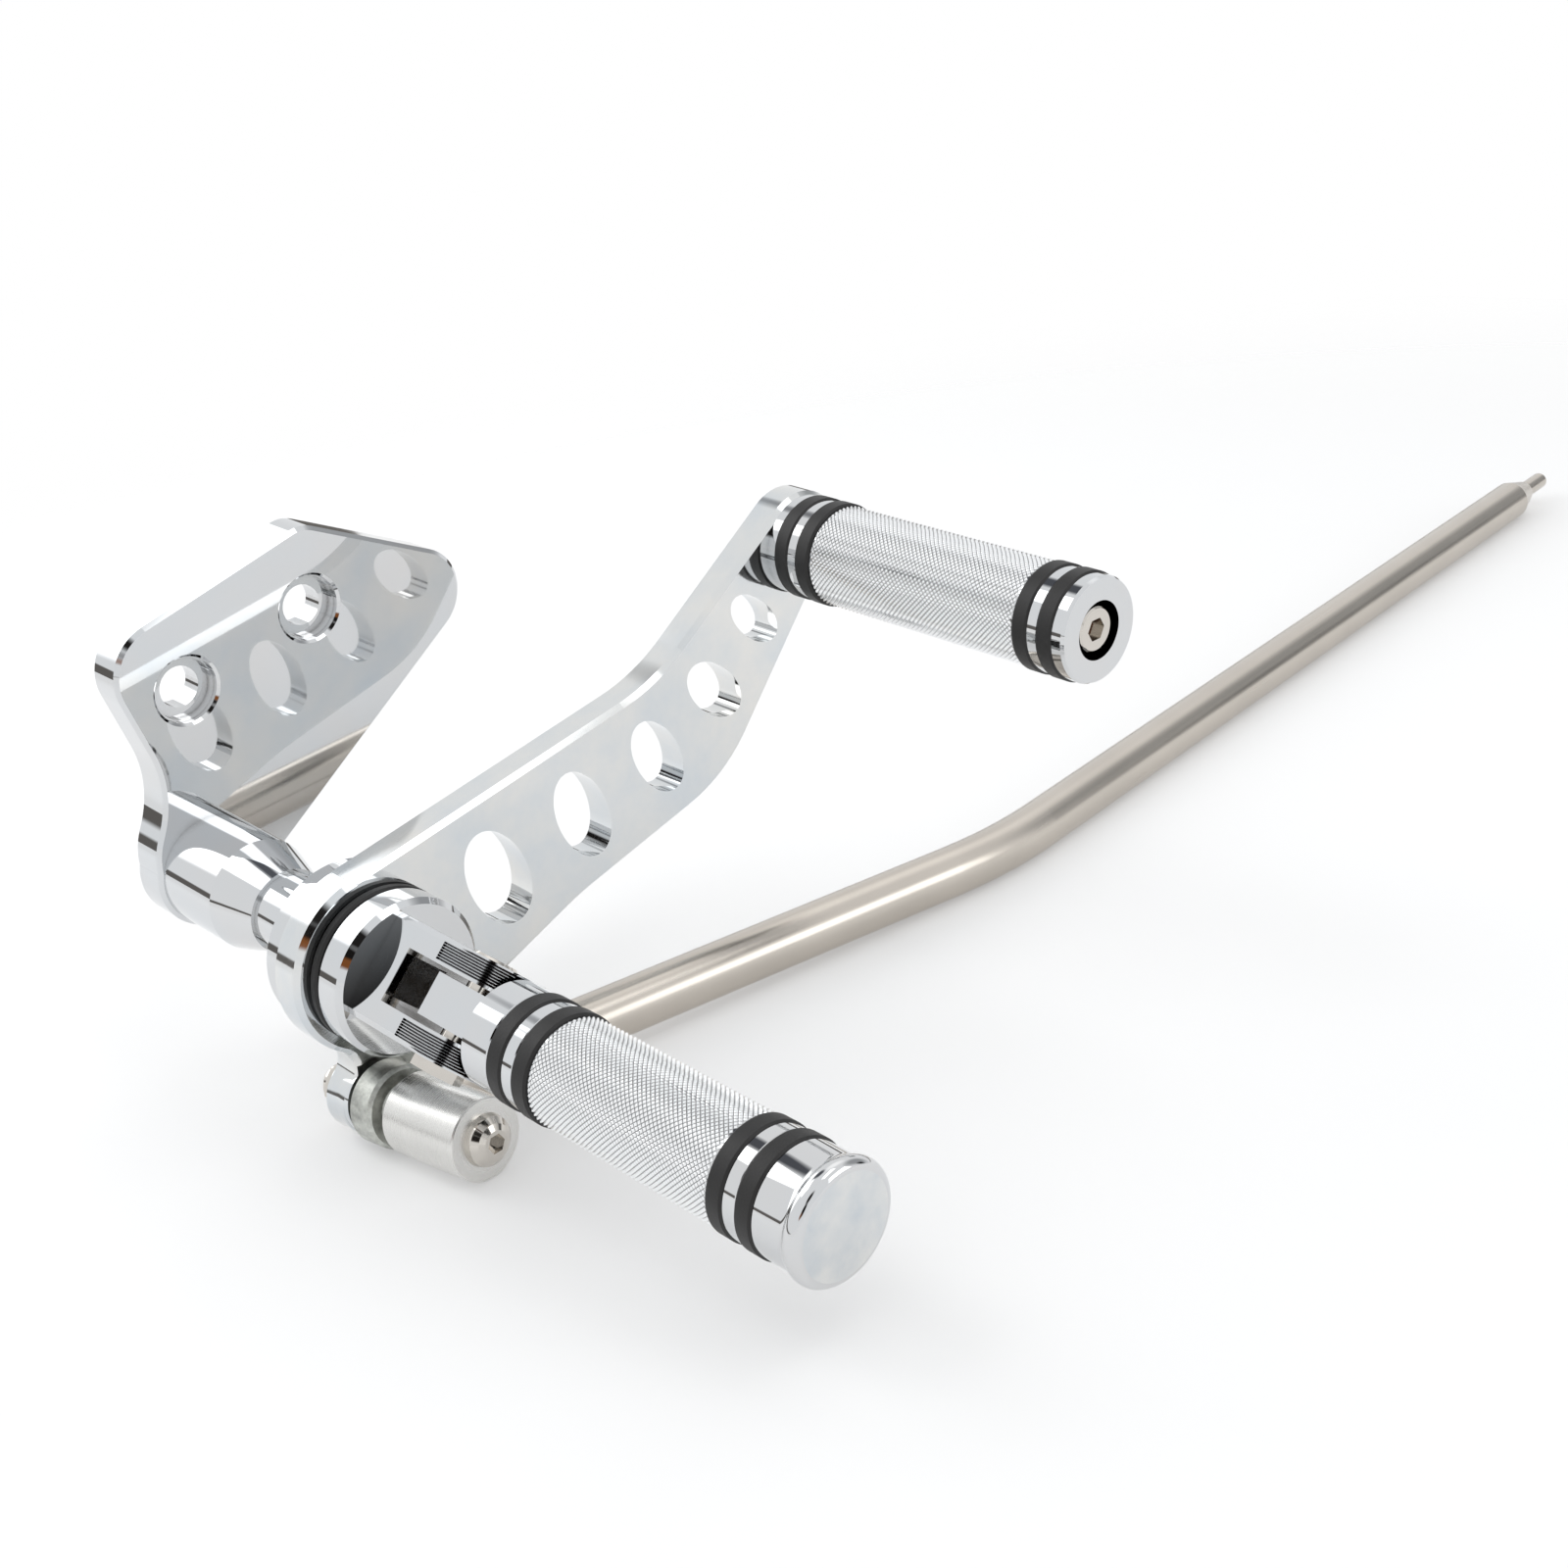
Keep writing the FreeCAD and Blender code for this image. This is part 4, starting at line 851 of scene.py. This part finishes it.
class FORWARDCONTROLS_OT_stage(bpy.types.Operator):
    """Set up the white table, the soft light and the camera"""
    bl_idname = "forwardcontrols.stage"
    bl_label = "Set the stage"

    def execute(self, context):
        scene = context.scene
        settings = scene.forward_controls_stage
        scene.view_settings.view_transform = "Standard"
        white_room(settings.room)

        tilt = TABLE_NORMAL.to_track_quat("Z", "Y")
        corners = []
        for x, y in ((-1, -1), (1, -1), (1, 1), (-1, 1)):
            flat = Vector((x * TABLE_HALF + TABLE_MIDDLE.x, y * TABLE_HALF, 0))
            corners.append(tilt @ flat + TABLE_NORMAL * TABLE_HEIGHT)
        mesh = bpy.data.meshes.new("table")
        mesh.from_pydata(corners, [], [(0, 1, 2, 3)])
        mesh.materials.append(table_paper())
        table = placed("table", mesh)

        for box in SOFT_BOXES:
            soft_box(*box, settings.boxes)

        camera = placed("camera", bpy.data.cameras.new("camera"))
        back = CAMERA_RIGHT.cross(CAMERA_UP)
        axes = Matrix((CAMERA_RIGHT, CAMERA_UP, back)).transposed()
        camera.matrix_world = Matrix.Translation(CAMERA_AT) @ axes.to_4x4()
        camera.data.lens = settings.lens
        camera.data.sensor_width = SENSOR_MM
        camera.data.clip_start = SEEN_FROM
        camera.data.clip_end = SEEN_TO
        scene.camera = camera
        return {"FINISHED"}


class FORWARDCONTROLS_PT_panel(bpy.types.Panel):
    """Sizes, colours and steps of the forward controls' finish"""
    bl_label = "Forward Controls"
    bl_idname = "FORWARDCONTROLS_PT_panel"
    bl_space_type = "VIEW_3D"
    bl_region_type = "UI"
    bl_category = "Forward Controls"

    def draw(self, context):
        for title, pointer, group in SETTINGS:
            box = self.layout.box()
            box.label(text=title)
            for name in group.bl_rna.properties.keys():
                if name not in ("rna_type", "name"):
                    box.prop(getattr(context.scene, pointer), name)
        for operator in OPERATORS:
            self.layout.operator(operator.bl_idname)


OPERATORS = (
    FORWARDCONTROLS_OT_plated_metal,
    FORWARDCONTROLS_OT_foot_peg,
    FORWARDCONTROLS_OT_rubber_rings,
    FORWARDCONTROLS_OT_fasteners,
    FORWARDCONTROLS_OT_linkage,
    FORWARDCONTROLS_OT_knurled_grips,
    FORWARDCONTROLS_OT_stage,
)
SETTINGS = (
    ("Finish", "forward_controls_finish", FinishSettings),
    ("Knurl", "forward_controls_knurl", KnurlSettings),
    ("Stage", "forward_controls_stage", StageSettings),
)


def register():
    for _, pointer, group in SETTINGS:
        bpy.utils.register_class(group)
        setattr(bpy.types.Scene, pointer, bpy.props.PointerProperty(type=group))
    for made in OPERATORS + (FORWARDCONTROLS_PT_panel,):
        bpy.utils.register_class(made)


def unregister():
    for made in (FORWARDCONTROLS_PT_panel,) + OPERATORS:
        bpy.utils.unregister_class(made)
    for _, pointer, group in SETTINGS:
        delattr(bpy.types.Scene, pointer)
        bpy.utils.unregister_class(group)


def main():
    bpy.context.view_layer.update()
    register()
    bpy.ops.forwardcontrols.plated_metal()
    bpy.ops.forwardcontrols.foot_peg()
    bpy.ops.forwardcontrols.rubber_rings()
    bpy.ops.forwardcontrols.fasteners()
    bpy.ops.forwardcontrols.linkage()
    bpy.ops.forwardcontrols.knurled_grips()
    bpy.ops.forwardcontrols.stage()


if __name__ == "__main__":
    main()
